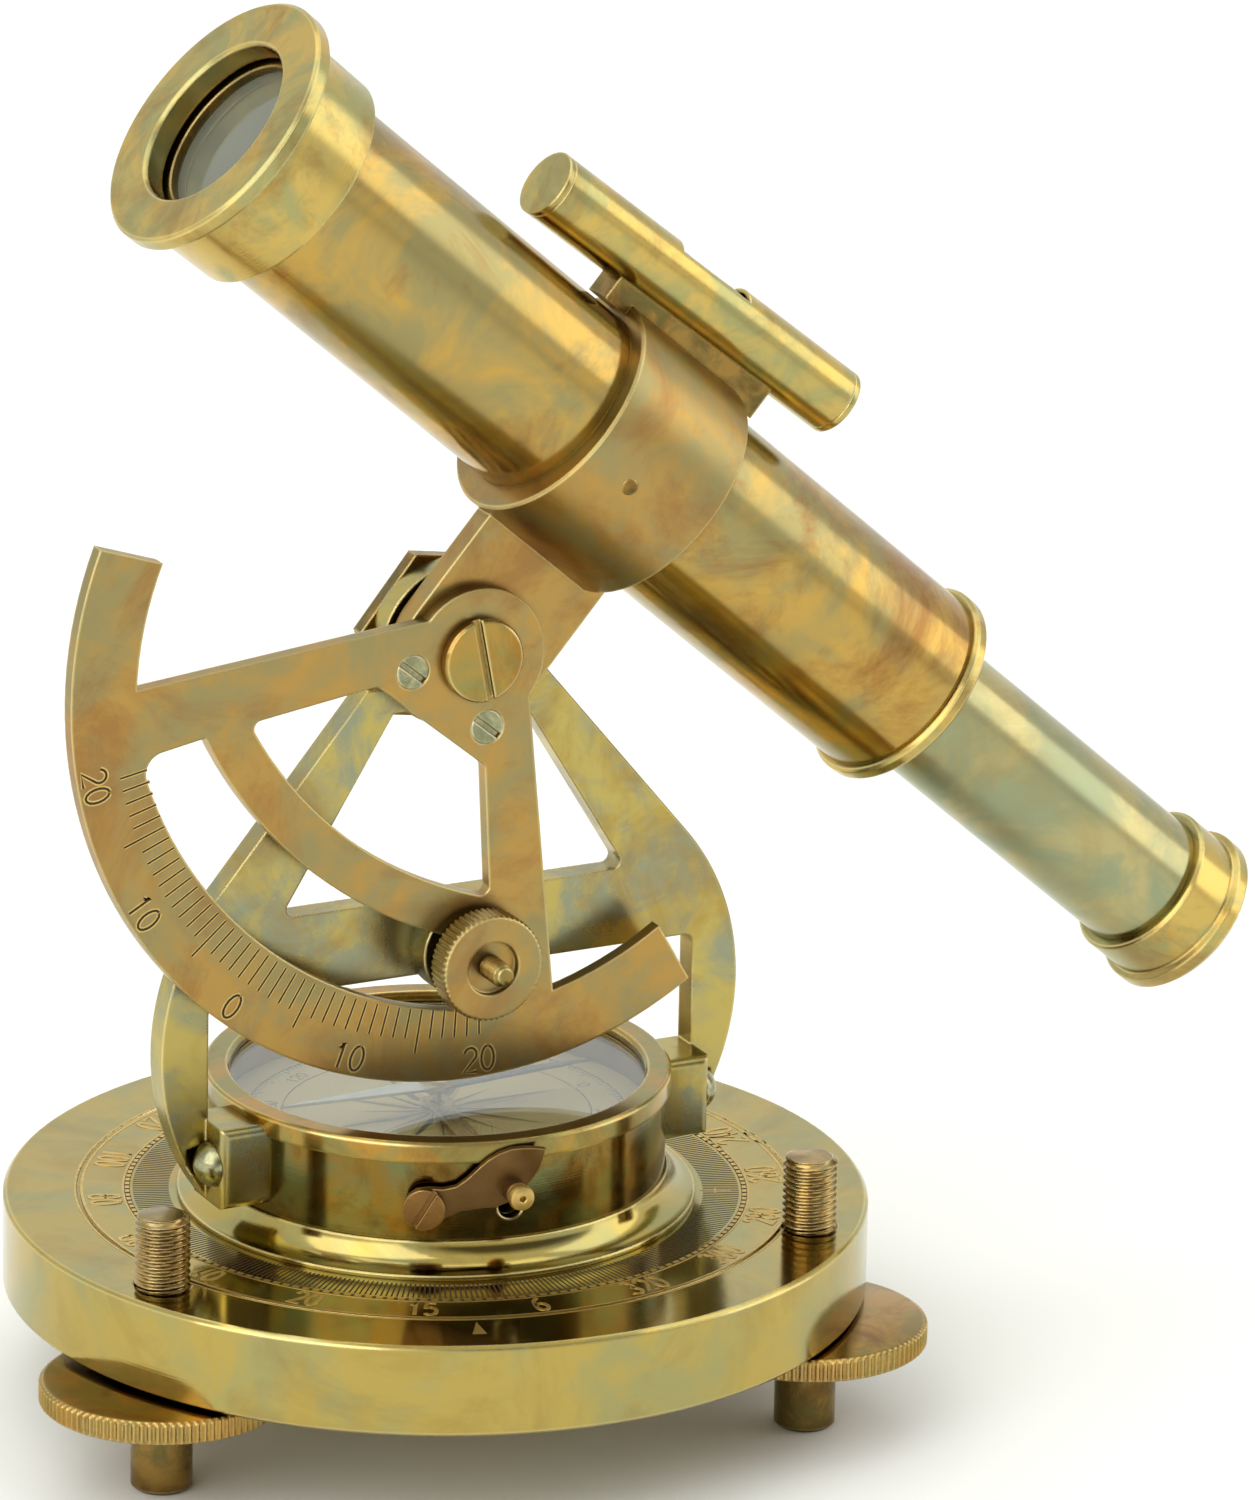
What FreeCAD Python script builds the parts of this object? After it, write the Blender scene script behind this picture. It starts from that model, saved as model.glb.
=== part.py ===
import FreeCAD, Part
import math
import os

from FreeCAD import Vector

# Desk theodolite of cast and turned brass, in millimetres.
# Origin: on the azimuth axis, in the plane of the three feet. +Z is up.
# The telescope and its upright lie in planes parallel to XZ, the pivot axis runs along Y,
# the eyepiece is towards +X and the sector faces -Y.

# base and levelling screws
BASE_R = 62.5
BASE_BOTTOM = 17.0
BASE_TOP = 30.5
BASE_CHAMFER = 0.5
GROOVE_R = 51.6
GROOVE_WIDTH = 0.7
GROOVE_DEPTH = 0.35
SCREW_CIRCLE_R = 55.2
SCREW_ANGLES = (-160.0, -40.0, 80.0)
SCREW_NAMES = ("left", "right", "back")
ROD_R = 4.0
ROD_TOP = 41.1
ROD_JOURNAL_R = 3.0
FOOT_R = 4.4
FOOT_CHAMFER = 0.5
FOOT_TOP = 12.6
FOOT_FLOOR = 7.0
WHEEL_R = 17.4
WHEEL_BOTTOM = 12.9
WHEEL_TOP = 16.4
THREAD_PITCH = 1.0
THREAD_DEPTH = 0.35

# clearances
RUNNING_GAP = 0.05
FACE_GAP = 0.05

# azimuth bearing
BEARING_R = 5.0
BOLT_HEAD_R = 9.0
BOLT_HEAD_T = 3.0
WASHER_T = 0.8
COUNTERBORE_R = 9.6
COUNTERBORE_DEPTH = 4.6

# compass box
SKIRT_R = 37.4
SKIRT_LIP = 0.7
BOX_FLOOR = 34.9
BOX_R = 33.0
BOX_WALL = 1.7
BOX_FLOOR_T = 1.4
BOX_TOP = 48.4
BEZEL_R = 33.7
BEZEL_IN_R = 29.9
BEZEL_TOP = 49.8
BEZEL_DROP = 3.0
GLASS_T = 1.2
GLASS_RING_T = 0.8
DIAL_Z = 41.0
DIAL_T = 0.5
DIAL_SEAT_R = 29.0
PIN_R = 0.6
PIN_TOP = 45.3
NEEDLE_LENGTH = 50.0
NEEDLE_HALF_WIDTH = 2.4
NEEDLE_Z = 45.4
NEEDLE_T = 0.4
CAP_R = 2.6
CAP_BOTTOM = 44.6
CAP_TOP = 46.6
LIFTER_Z = 42.3
LIFTER_T = 0.6
LIFTER_HALF_WIDTH = 1.5

# needle lock lever on the box wall, placed by angle round the box and height
LEVER_SCREW_ANGLE = -118.7
LEVER_SCREW_Z = 40.6
LEVER_PIN_ANGLE = -97.6
LEVER_PIN_Z = 42.8
LEVER_T = 0.9
LEVER_GAP = 0.6
LEVER_SCREW_R = 3.0
LEVER_SHANK_R = 1.5
LEVER_PIN_R = 1.5
LEVER_PIN_OUT = 4.2
LEVER_PIN_GAP = 0.35
LEVER_SLOT_STEPS = 5
LEVER_TRAVEL = 15.0
LEVER_SLOT_IN_R = 28.6
LEVER_HEAD_GAP = 0.3
LEVER_HEAD_T = 1.2
LEVER_HEAD_SLOT = 0.7
LEVER_SLOT_LEAN = 60.0

# upright (A-shaped frame)
PIVOT_Z = 114.3
FRAME_FRONT = -4.8
FRAME_T = 4.0
HUB_R = 12.0
LEG_OUT_R = 36.3
LEG_OUT_X = 9.4
LEG_OUT_Z = 58.0
LEG_OUT_ANGLE = 39.3
LEG_TOP = (14.0, 109.1)
WINDOW_TOP = (10.0, 105.2)
WINDOW_FOOT = (27.4, 77.0)
CROSSBAR_BOTTOM = 65.5
LEG_IN_X = 38.5
LUG_BOTTOM = 36.4
LUG_TOP = 48.4
LUG_FRONT = -10.6
LUG_OUT_X = 38.8
LUG_SCREW_ANGLES = (190.0, -10.0)
LUG_SCREW_Z = 42.4
LUG_HEAD_R = 3.2
LUG_HEAD_H = 2.0
LUG_HEAD_RIM = 1.2
LUG_SHANK_R = 1.5

# pivot
PIVOT_SHANK_R = 4.0
PIVOT_HEAD_R = 6.1
PIVOT_HEAD_T = 1.7
PIVOT_CHAMFER = 0.3
PIVOT_SLOT = 1.1
PIVOT_SLOT_DEPTH = 0.9
PIVOT_SLOT_LEAN = 11.0
PIVOT_WASHER_R = 9.5
NUT_CORNER_R = 13.6
NUT_T = 2.4
NUT_TURN = 141.0

# sector
SECTOR_FRONT = -11.9
SECTOR_T = 2.3
SECTOR_R = 62.9
SECTOR_HORN_IN_R = 53.0
SECTOR_HALF_ANGLE = 72.3
SECTOR_LEAN = -1.6
SECTOR_HUB_R = 10.2
SPOKE_IN_ANGLE = 40.4
SPOKE_IN_OFFSET = 1.4
SPOKE_OUT_ANGLE = 45.0
SPOKE_OUT_OFFSET = 7.2
SLOT_OUT_END_R = 53.0
SLOT_OUT_MID_R = 50.7
SLOT_IN_END_R = 43.0
SLOT_IN_MID_R = 38.3
WINDOW_END_R = 36.0
WINDOW_MID_R = 31.5
WEB_CHORD = 11.8
SECTOR_SCREW_R = 1.7
SECTOR_HEAD_R = 2.5
SECTOR_SCREW_CIRCLE = 10.5
SECTOR_SCREW_ANGLE = 46.4

# clamp on the upright's cross-bar
STUD_R = 1.8
STUD_CIRCLE = 44.6
STUD_TIP = -21.5
CLAMP_R = 7.9
CLAMP_BACK = -13.3
CLAMP_FRONT = -17.7
CLAMP_SHOULDER_R = 6.8
CLAMP_RECESS_R = 4.0
CLAMP_RECESS = 1.2
SPACER_R = 7.0

# telescope, along its own axis s with s = 0 above the pivot
TILT = 40.9
TUBE_HEIGHT = 35.2
TUBE_Y = -7.7
TUBE_R = 14.75
TUBE_WALL = 0.9
TUBE_START = -80.0
TUBE_END = 60.7
COLLAR_R = 17.8
COLLAR_DROP = 0.6
COLLAR_START = -13.7
COLLAR_END = 8.8
BRACKET_T = 3.8
BRACKET_HALF = 11.4
CAP_FACE = -83.4
CAP_FLANGE_R = 19.7
CAP_FLANGE_T = 2.3
CAP_BARREL_R = 17.0
CAP_END = -69.0
CAP_BORE_R = 12.7
CAP_LIP = 2.6
LENS_R = TUBE_R - TUBE_WALL
LENS_START = -77.6
LENS_T = 2.4
LENS_BULGE = 0.9
LENS_RING_IN_R = 11.8
LENS_RING_T = 1.4
LENS_EDGE_GAP = 0.3
BEAD_R = 15.85
BEAD_T = 2.4
BUSH_LENGTH = 8.7
DRAW_R = 10.4
DRAW_WALL = 0.8
DRAW_START = 36.0
DRAW_END = 124.0
PISTON_T = 4.0
EYE_START = 116.6
EYE_BARREL_R = 11.95
EYE_BEAD_R = 12.95
EYE_BEAD_START = 123.7
EYE_END = 126.8
EYE_HOLE_R = 5.0
EYE_LENS_R = DRAW_R - DRAW_WALL
EYE_LENS_T = 1.6
EYE_LENS_BULGE = 0.8

# spirit level on the collar
LEVEL_R = 5.0
LEVEL_WALL = 0.6
LEVEL_HEIGHT = 24.3
LEVEL_LEAN = 2.4
LEVEL_START = -35.5
LEVEL_END = 24.3
LEVEL_CAP_T = 1.0
LEVEL_PLUG = 2.0
LEVEL_WINDOW = (-12.5, 1.3)
LEVEL_WINDOW_HALF = 3.3
VIAL_R = 4.15
VIAL_START = -22.0
VIAL_END = 9.0
PACKING_T = 2.0
SADDLE_START = -18.0
SADDLE_END = 13.0
SADDLE_HALF = 2.6
SADDLE_LIFT = 0.9

AXIS_Z = Vector(0, 0, 1)
AXIS_Y = Vector(0, 1, 0)
AXIS_X = Vector(1, 0, 0)


def save(name, *shapes):
    """Write one sub-part, of one solid or several, as its own STEP file."""
    solids = [solid for shape in shapes for solid in shape.Solids]
    node = solids[0] if len(solids) == 1 else Part.makeCompound(solids)
    node.exportStep(os.path.join("parts", name + ".step"))


def rod(radius, bottom, top, x=0.0, y=0.0):
    """Upright cylinder between two heights."""
    return Part.makeCylinder(radius, top - bottom, Vector(x, y, bottom), AXIS_Z)


def turned(profile, axis=AXIS_Z):
    """Solid of revolution. The profile is a list of (radius, height) along the axis."""
    if axis == AXIS_Z:
        points = [Vector(radius, 0, height) for radius, height in profile]
    else:
        points = [Vector(height, 0, radius) for radius, height in profile]
    face = Part.Face(Part.makePolygon(points + points[:1]))
    return face.revolve(Vector(0, 0, 0), axis, 360).Solids[0]


def across(radius, front, back, x=0.0, z=0.0):
    """Cylinder along Y between a front and a back plane."""
    return Part.makeCylinder(radius, back - front, Vector(x, front, z), AXIS_Y)


def polar(radius, degrees, height=0.0):
    """Point at an angle round the azimuth axis."""
    angle = math.radians(degrees)
    return Vector(radius * math.cos(angle), radius * math.sin(angle), height)


def below(radius, degrees):
    """Point in an XZ plane at an angle from straight down, positive towards +X."""
    angle = math.radians(degrees)
    return Vector(radius * math.sin(angle), 0, -radius * math.cos(angle))


def plate(steps, front, thickness):
    """Flat plate in an XZ plane. A step is a point, or a (middle, end) pair for an arc."""
    edges = []
    start = steps[0]
    for step in list(steps[1:]) + [start]:
        if isinstance(step, tuple):
            edges.append(Part.Arc(start, step[0], step[1]).toShape())
            start = step[1]
        elif (step - start).Length > 0.001:
            edges.append(Part.LineSegment(start, step).toShape())
            start = step
    face = Part.Face(Part.Wire(edges))
    face.translate(Vector(0, front, 0))
    return face.extrude(Vector(0, thickness, 0))


def rounded(shape, radius, wanted=lambda point: True):
    """Round the edges that run along Y at the wanted places."""
    edges = []
    for edge in shape.Edges:
        first, last = edge.Vertexes[0].Point, edge.Vertexes[-1].Point
        along_y = abs(first.x - last.x) < 0.001 and abs(first.z - last.z) < 0.001
        if along_y and abs(first.y - last.y) > 0.1 and wanted(first):
            edges.append(edge)
    return shape.makeFillet(radius, edges)


def mirrored(shape):
    """The same shape on the other side of the YZ plane."""
    return shape.mirror(Vector(0, 0, 0), AXIS_X)


def on_tube(shape):
    """Place a shape made along X at the origin on the tilted telescope axis."""
    moved = shape.copy()
    moved.translate(Vector(0, TUBE_Y, TUBE_HEIGHT))
    return on_pivot(moved, TILT)


def on_pivot(shape, tilt):
    """Turn a shape made about the origin round the pivot axis, then lift it to the pivot."""
    moved = shape.copy()
    moved.rotate(Vector(0, 0, 0), AXIS_Y, tilt)
    moved.translate(Vector(0, 0, PIVOT_Z))
    return moved


def make_base():
    """Thick turned disc with the bearing bore, three tapped holes and the ring groove."""
    disc = rod(BASE_R, BASE_BOTTOM, BASE_TOP)
    disc = disc.makeChamfer(BASE_CHAMFER, [edge for edge in disc.Edges if len(edge.Vertexes) == 1])
    cuts = [
        rod(BEARING_R + RUNNING_GAP, BASE_BOTTOM, BASE_TOP),
        rod(COUNTERBORE_R, BASE_BOTTOM, BASE_BOTTOM + COUNTERBORE_DEPTH),
        rod(GROOVE_R + GROOVE_WIDTH / 2, BASE_TOP - GROOVE_DEPTH, BASE_TOP).cut(
            rod(GROOVE_R - GROOVE_WIDTH / 2, BASE_TOP - GROOVE_DEPTH, BASE_TOP)
        ),
    ]
    for angle in SCREW_ANGLES:
        place = polar(SCREW_CIRCLE_R, angle)
        cuts.append(rod(ROD_R + RUNNING_GAP, BASE_BOTTOM, BASE_TOP, place.x, place.y))
    save("base_plate", disc.cut(cuts))


def make_levelling_screws():
    """Threaded rod with a knurled wheel, turning in a foot sleeve, three times."""
    for name, angle in zip(SCREW_NAMES, SCREW_ANGLES):
        place = polar(SCREW_CIRCLE_R, angle)
        profile = [(0, FOOT_FLOOR + RUNNING_GAP), (ROD_JOURNAL_R, FOOT_FLOOR + RUNNING_GAP)]
        profile += [(ROD_JOURNAL_R, WHEEL_BOTTOM), (ROD_R, WHEEL_BOTTOM)]
        height = WHEEL_TOP + THREAD_PITCH
        while height < ROD_TOP - THREAD_PITCH / 2:
            profile += [(ROD_R, height - THREAD_PITCH / 4), (ROD_R - THREAD_DEPTH, height)]
            profile += [(ROD_R, height + THREAD_PITCH / 4)]
            height += THREAD_PITCH
        profile += [(ROD_R - THREAD_DEPTH, ROD_TOP), (0, ROD_TOP)]
        threaded = turned(profile)
        foot = rod(FOOT_R, 0, FOOT_TOP)
        foot = foot.makeChamfer(FOOT_CHAMFER, [foot.Edges[-1]])
        foot = foot.cut(rod(ROD_JOURNAL_R + RUNNING_GAP, FOOT_FLOOR, FOOT_TOP))
        wheel = rod(WHEEL_R, WHEEL_BOTTOM, WHEEL_TOP).cut(rod(ROD_R, WHEEL_BOTTOM, WHEEL_TOP))
        for node, shape in (("rod", threaded), ("foot", foot), ("wheel", wheel)):
            shape.translate(place)
            save("levelling_" + node + "_" + name, shape)


def make_azimuth_bearing():
    """Bolt that hangs the upper part in the base, with a spring washer under its head."""
    head_top = BASE_BOTTOM + COUNTERBORE_DEPTH - WASHER_T - 2 * FACE_GAP
    head = rod(BOLT_HEAD_R, head_top - BOLT_HEAD_T, head_top)
    slot = Part.makeBox(2 * BOLT_HEAD_R, 1.6, 1.2, Vector(-BOLT_HEAD_R, -0.8, head_top - BOLT_HEAD_T))
    shank = rod(BEARING_R, head_top, BASE_TOP + FACE_GAP)
    thread = rod(BEARING_R - 1.0, BASE_TOP + FACE_GAP, BOX_FLOOR + BOX_FLOOR_T)
    save("azimuth_bolt", head.fuse([shank, thread]).removeSplitter().cut(slot))
    washer = rod(COUNTERBORE_R - 0.8, head_top, head_top + WASHER_T)
    save("azimuth_washer", washer.cut(rod(BEARING_R + 0.2, head_top, head_top + WASHER_T)))


def make_compass_shell():
    """Skirt, cup, bezel, glass and its seat ring."""
    bottom = BASE_TOP + FACE_GAP
    bore = BEARING_R - 1.0
    cove = Part.Arc(
        Vector(SKIRT_R - 0.4, 0, bottom + SKIRT_LIP),
        Vector(BOX_R + 1.5, 0, bottom + 2.0),
        Vector(BOX_R + 0.4, 0, BOX_FLOOR),
    ).toShape()
    rest = Part.makePolygon(
        [
            Vector(BOX_R + 0.4, 0, BOX_FLOOR),
            Vector(bore, 0, BOX_FLOOR),
            Vector(bore, 0, bottom),
            Vector(SKIRT_R, 0, bottom),
            Vector(SKIRT_R, 0, bottom + SKIRT_LIP),
            Vector(SKIRT_R - 0.4, 0, bottom + SKIRT_LIP),
        ]
    )
    face = Part.Face(Part.Wire([cove] + rest.Edges))
    save("compass_skirt", face.revolve(Vector(0, 0, 0), AXIS_Z, 360).Solids[0])

    cup = rod(BOX_R, BOX_FLOOR, BOX_TOP).cut(rod(BOX_R - BOX_WALL, BOX_FLOOR + BOX_FLOOR_T, BOX_TOP))
    cup = cup.cut([rod(bore, BOX_FLOOR, BOX_TOP)] + lug_shanks(0.0))
    save("compass_box", without_lever_slot(cup))

    bezel = turned(
        [
            (BEZEL_IN_R, BOX_TOP),
            (BOX_R, BOX_TOP),
            (BOX_R, BEZEL_TOP - BEZEL_DROP),
            (BEZEL_R, BEZEL_TOP - BEZEL_DROP),
            (BEZEL_R, BEZEL_TOP - 0.4),
            (BEZEL_R - 0.4, BEZEL_TOP),
            (BEZEL_IN_R + 0.5, BEZEL_TOP),
            (BEZEL_IN_R, BEZEL_TOP - 0.5),
        ]
    )
    save("compass_bezel", bezel)
    inside = BOX_R - BOX_WALL
    glass_bottom = BOX_TOP - GLASS_T
    save("compass_glass", rod(inside, glass_bottom, BOX_TOP))
    seat = rod(inside, glass_bottom - GLASS_RING_T, glass_bottom)
    save("glass_seat_ring", seat.cut(rod(inside - 1.4, glass_bottom - GLASS_RING_T, glass_bottom)))
    dial = rod(inside, DIAL_Z, DIAL_Z + DIAL_T).cut(rod(PIN_R, DIAL_Z, DIAL_Z + DIAL_T))
    save("compass_dial", without_lever_slot(dial))
    floor = BOX_FLOOR + BOX_FLOOR_T
    seat = rod(inside, floor, DIAL_Z).cut(rod(DIAL_SEAT_R, floor, DIAL_Z))
    save("dial_seat_ring", without_lever_slot(seat))


def make_needle():
    """Pin, magnetic needle with its cap, and the strip that lifts it off the pin."""
    floor = BOX_FLOOR + BOX_FLOOR_T
    pin = turned(
        [(0, floor), (3.0, floor), (3.0, floor + 1.0), (PIN_R, floor + 1.5)]
        + [(PIN_R, PIN_TOP - 1.0), (0, PIN_TOP)]
    )
    save("needle_pin", pin)
    half = NEEDLE_LENGTH / 2
    outline = [
        Vector(-half, 0, NEEDLE_Z),
        Vector(0, -NEEDLE_HALF_WIDTH, NEEDLE_Z),
        Vector(half, 0, NEEDLE_Z),
        Vector(0, NEEDLE_HALF_WIDTH, NEEDLE_Z),
    ]
    blade = Part.Face(Part.makePolygon(outline + outline[:1])).extrude(Vector(0, 0, NEEDLE_T))
    blade = blade.cut(rod(CAP_R - 0.6, NEEDLE_Z, NEEDLE_Z + NEEDLE_T))
    save("compass_needle", blade)
    cap = turned(
        [
            (0.9, CAP_BOTTOM),
            (CAP_R - 0.6, CAP_BOTTOM),
            (CAP_R - 0.6, NEEDLE_Z + NEEDLE_T),
            (CAP_R, NEEDLE_Z + NEEDLE_T),
            (CAP_R - 0.8, CAP_TOP),
            (0, CAP_TOP),
            (0, PIN_TOP + 0.3),
        ]
    )
    save("needle_cap", cap)
    eye = rod(2.6, LIFTER_Z, LIFTER_Z + LIFTER_T)
    outer = BOX_R - BOX_WALL - 3.2
    arm = Part.makeBox(
        outer, 2 * LIFTER_HALF_WIDTH, LIFTER_T, Vector(0, -LIFTER_HALF_WIDTH, LIFTER_Z)
    )
    arm.rotate(Vector(0, 0, 0), AXIS_Z, LEVER_PIN_ANGLE)
    save("needle_lifter", eye.fuse(arm).cut(rod(PIN_R + 0.5, LIFTER_Z, LIFTER_Z + LIFTER_T)))


def radial(radius, inner, outer, degrees, height):
    """Cylinder that points outwards from the azimuth axis."""
    return Part.makeCylinder(radius, outer - inner, polar(inner, degrees, height), polar(1, degrees))


def without_lever_slot(shape):
    """Cut the curved slot that the lever's pin runs in, through the box wall and the dial's edge."""
    axis = polar(1, LEVER_SCREW_ANGLE)
    centre = polar(0, 0, LEVER_SCREW_Z)
    radius = LEVER_PIN_R + LEVER_PIN_GAP
    for step in range(LEVER_SLOT_STEPS + 1):
        hole = radial(radius, LEVER_SLOT_IN_R, BOX_R + 1.0, LEVER_PIN_ANGLE, LEVER_PIN_Z)
        hole.rotate(centre, axis, -LEVER_TRAVEL * step / LEVER_SLOT_STEPS)
        shape = shape.cut(hole)
    return shape


def make_lock_lever():
    """Curved plate on a slotted screw, with the pin that works the lifter."""
    inner = BOX_R + LEVER_GAP
    outer = inner + LEVER_T
    outline = [
        (-3.2, -2.6),
        (4.0, -2.4),
        (8.0, -0.2),
        (16.5, 0.4),
        (18.5, 4.2),
        (14.0, 5.8),
        (8.5, 5.2),
        (2.0, 3.2),
        (-3.4, 1.6),
    ]
    points = [Vector(outer + 5, along, LEVER_SCREW_Z + up) for along, up in outline]
    blank = Part.Face(Part.makePolygon(points + points[:1])).extrude(Vector(-15, 0, 0))
    blank.rotate(Vector(0, 0, 0), AXIS_Z, LEVER_SCREW_ANGLE)
    shell = rod(outer, BOX_FLOOR, BEZEL_TOP).cut(rod(inner, BOX_FLOOR, BEZEL_TOP))
    lever = blank.common(shell)
    screw_hole = radial(LEVER_SHANK_R + RUNNING_GAP, BOX_R, outer + 2, LEVER_SCREW_ANGLE, LEVER_SCREW_Z)
    pin_hole = radial(LEVER_PIN_R, BOX_R, outer + 2, LEVER_PIN_ANGLE, LEVER_PIN_Z)
    save("lock_lever", lever.cut([screw_hole, pin_hole]))
    pin_inner = LEVER_SLOT_IN_R + 0.5
    pin_outer = outer + LEVER_PIN_OUT
    save("lever_pin", radial(LEVER_PIN_R, pin_inner, pin_outer, LEVER_PIN_ANGLE, LEVER_PIN_Z))
    under_head = outer + LEVER_HEAD_GAP
    shank = radial(LEVER_SHANK_R, BOX_R, under_head, LEVER_SCREW_ANGLE, LEVER_SCREW_Z)
    top = under_head + LEVER_HEAD_T
    head = radial(LEVER_SCREW_R, under_head, top, LEVER_SCREW_ANGLE, LEVER_SCREW_Z)
    slot = Part.makeBox(
        LEVER_HEAD_SLOT,
        2 * LEVER_SCREW_R,
        LEVER_HEAD_SLOT,
        Vector(top - LEVER_HEAD_SLOT, -LEVER_SCREW_R, LEVER_SCREW_Z - LEVER_HEAD_SLOT / 2),
    )
    slot.rotate(Vector(0, 0, LEVER_SCREW_Z), AXIS_X, LEVER_SLOT_LEAN)
    slot.rotate(Vector(0, 0, 0), AXIS_Z, LEVER_SCREW_ANGLE)
    save("lever_screw", shank.fuse(head).removeSplitter().cut(slot))


def lug_shanks(clearance):
    """The two screws' shanks, through the lugs into the box wall."""
    inner = BOX_R - BOX_WALL
    outer = LUG_OUT_X + LUG_HEAD_R / 2
    radius = LUG_SHANK_R + clearance
    return [radial(radius, inner, outer, angle, LUG_SCREW_Z) for angle in LUG_SCREW_ANGLES]


def make_lug_screws():
    """Two domed screws that hold the upright to the box."""
    sphere_r = (LUG_HEAD_R**2 + LUG_HEAD_H**2) / (2 * LUG_HEAD_H)
    screws = []
    rim = LUG_OUT_X + LUG_HEAD_RIM
    for shank, angle in zip(lug_shanks(0.0), LUG_SCREW_ANGLES):
        ball = Part.makeSphere(sphere_r, polar(rim + LUG_HEAD_H - sphere_r, angle, LUG_SCREW_Z))
        dome = ball.common(radial(sphere_r, rim, rim + sphere_r, angle, LUG_SCREW_Z))
        neck = radial(LUG_HEAD_R, LUG_OUT_X, rim, angle, LUG_SCREW_Z)
        screws.append(shank.fuse([neck, dome]))
    save("lug_screws", *screws)


def make_upright():
    """A-shaped frame: round top, bowed legs, cross-bar, and lugs that clasp the box."""
    arc_start = Vector(
        LEG_OUT_X + LEG_OUT_R * math.cos(math.radians(LEG_OUT_ANGLE)),
        0,
        LEG_OUT_Z + LEG_OUT_R * math.sin(math.radians(LEG_OUT_ANGLE)),
    )
    foot_angle = math.asin((LUG_BOTTOM - LEG_OUT_Z) / LEG_OUT_R)
    arc_end = Vector(LEG_OUT_X + LEG_OUT_R * math.cos(foot_angle), 0, LUG_BOTTOM)
    arc_mid = Vector(LEG_OUT_X + LEG_OUT_R, 0, LEG_OUT_Z)
    left = [arc_end, arc_mid, arc_start, Vector(LEG_TOP[0], 0, LEG_TOP[1])]
    mirror = [Vector(-point.x, 0, point.z) for point in left]
    outline = [left[3], left[2], (left[1], left[0]), mirror[0], (mirror[1], mirror[2]), mirror[3]]
    blank = plate(outline, FRAME_FRONT, FRAME_T)
    window = plate(
        [
            Vector(WINDOW_TOP[0], 0, WINDOW_TOP[1]),
            Vector(WINDOW_FOOT[0], 0, WINDOW_FOOT[1]),
            Vector(-WINDOW_FOOT[0], 0, WINDOW_FOOT[1]),
            Vector(-WINDOW_TOP[0], 0, WINDOW_TOP[1]),
        ],
        FRAME_FRONT,
        FRAME_T,
    )
    window = rounded(window, 1.2, lambda point: point.z < WINDOW_FOOT[1] + 1)
    lower = plate(
        [
            Vector(LEG_IN_X, 0, CROSSBAR_BOTTOM),
            Vector(LEG_IN_X, 0, LUG_TOP),
            Vector(BOX_R, 0, LUG_TOP - 2),
            Vector(BOX_R, 0, LUG_BOTTOM - 1),
            Vector(-BOX_R, 0, LUG_BOTTOM - 1),
            Vector(-BOX_R, 0, LUG_TOP - 2),
            Vector(-LEG_IN_X, 0, LUG_TOP),
            Vector(-LEG_IN_X, 0, CROSSBAR_BOTTOM),
        ],
        FRAME_FRONT,
        FRAME_T,
    )
    lower = rounded(lower, 1.5, lambda point: point.z > CROSSBAR_BOTTOM - 1)
    hub = across(HUB_R, FRAME_FRONT, FRAME_FRONT + FRAME_T, 0, PIVOT_Z)
    upright = blank.cut([window, lower]).fuse(hub)
    depth = FRAME_FRONT + FRAME_T - LUG_FRONT
    lug = Part.makeBox(
        LUG_OUT_X - BOX_R + 4, depth, LUG_TOP - LUG_BOTTOM, Vector(BOX_R - 4, LUG_FRONT, LUG_BOTTOM)
    )
    front_edges = [
        edge
        for edge in lug.Edges
        if abs(edge.CenterOfMass.y - LUG_FRONT) < 0.01 and edge.CenterOfMass.x > BOX_R - 3
    ]
    lug = lug.makeFillet(1.2, front_edges)
    upright = upright.fuse([lug, mirrored(lug)]).removeSplitter()
    seats = [
        radial(LUG_HEAD_R, LUG_OUT_X, LUG_OUT_X + LUG_HEAD_R, angle, LUG_SCREW_Z)
        for angle in LUG_SCREW_ANGLES
    ]
    clear = [
        rod(BOX_R, LUG_BOTTOM - 1, BEZEL_TOP),
        rod(BEZEL_R, BEZEL_TOP - BEZEL_DROP, BEZEL_TOP),
        across(PIVOT_SHANK_R, FRAME_FRONT, 0, 0, PIVOT_Z),
        across(STUD_R, FRAME_FRONT, 0, 0, PIVOT_Z - STUD_CIRCLE),
    ]
    save("upright", upright.cut(clear + lug_shanks(0.0) + seats))


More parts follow.
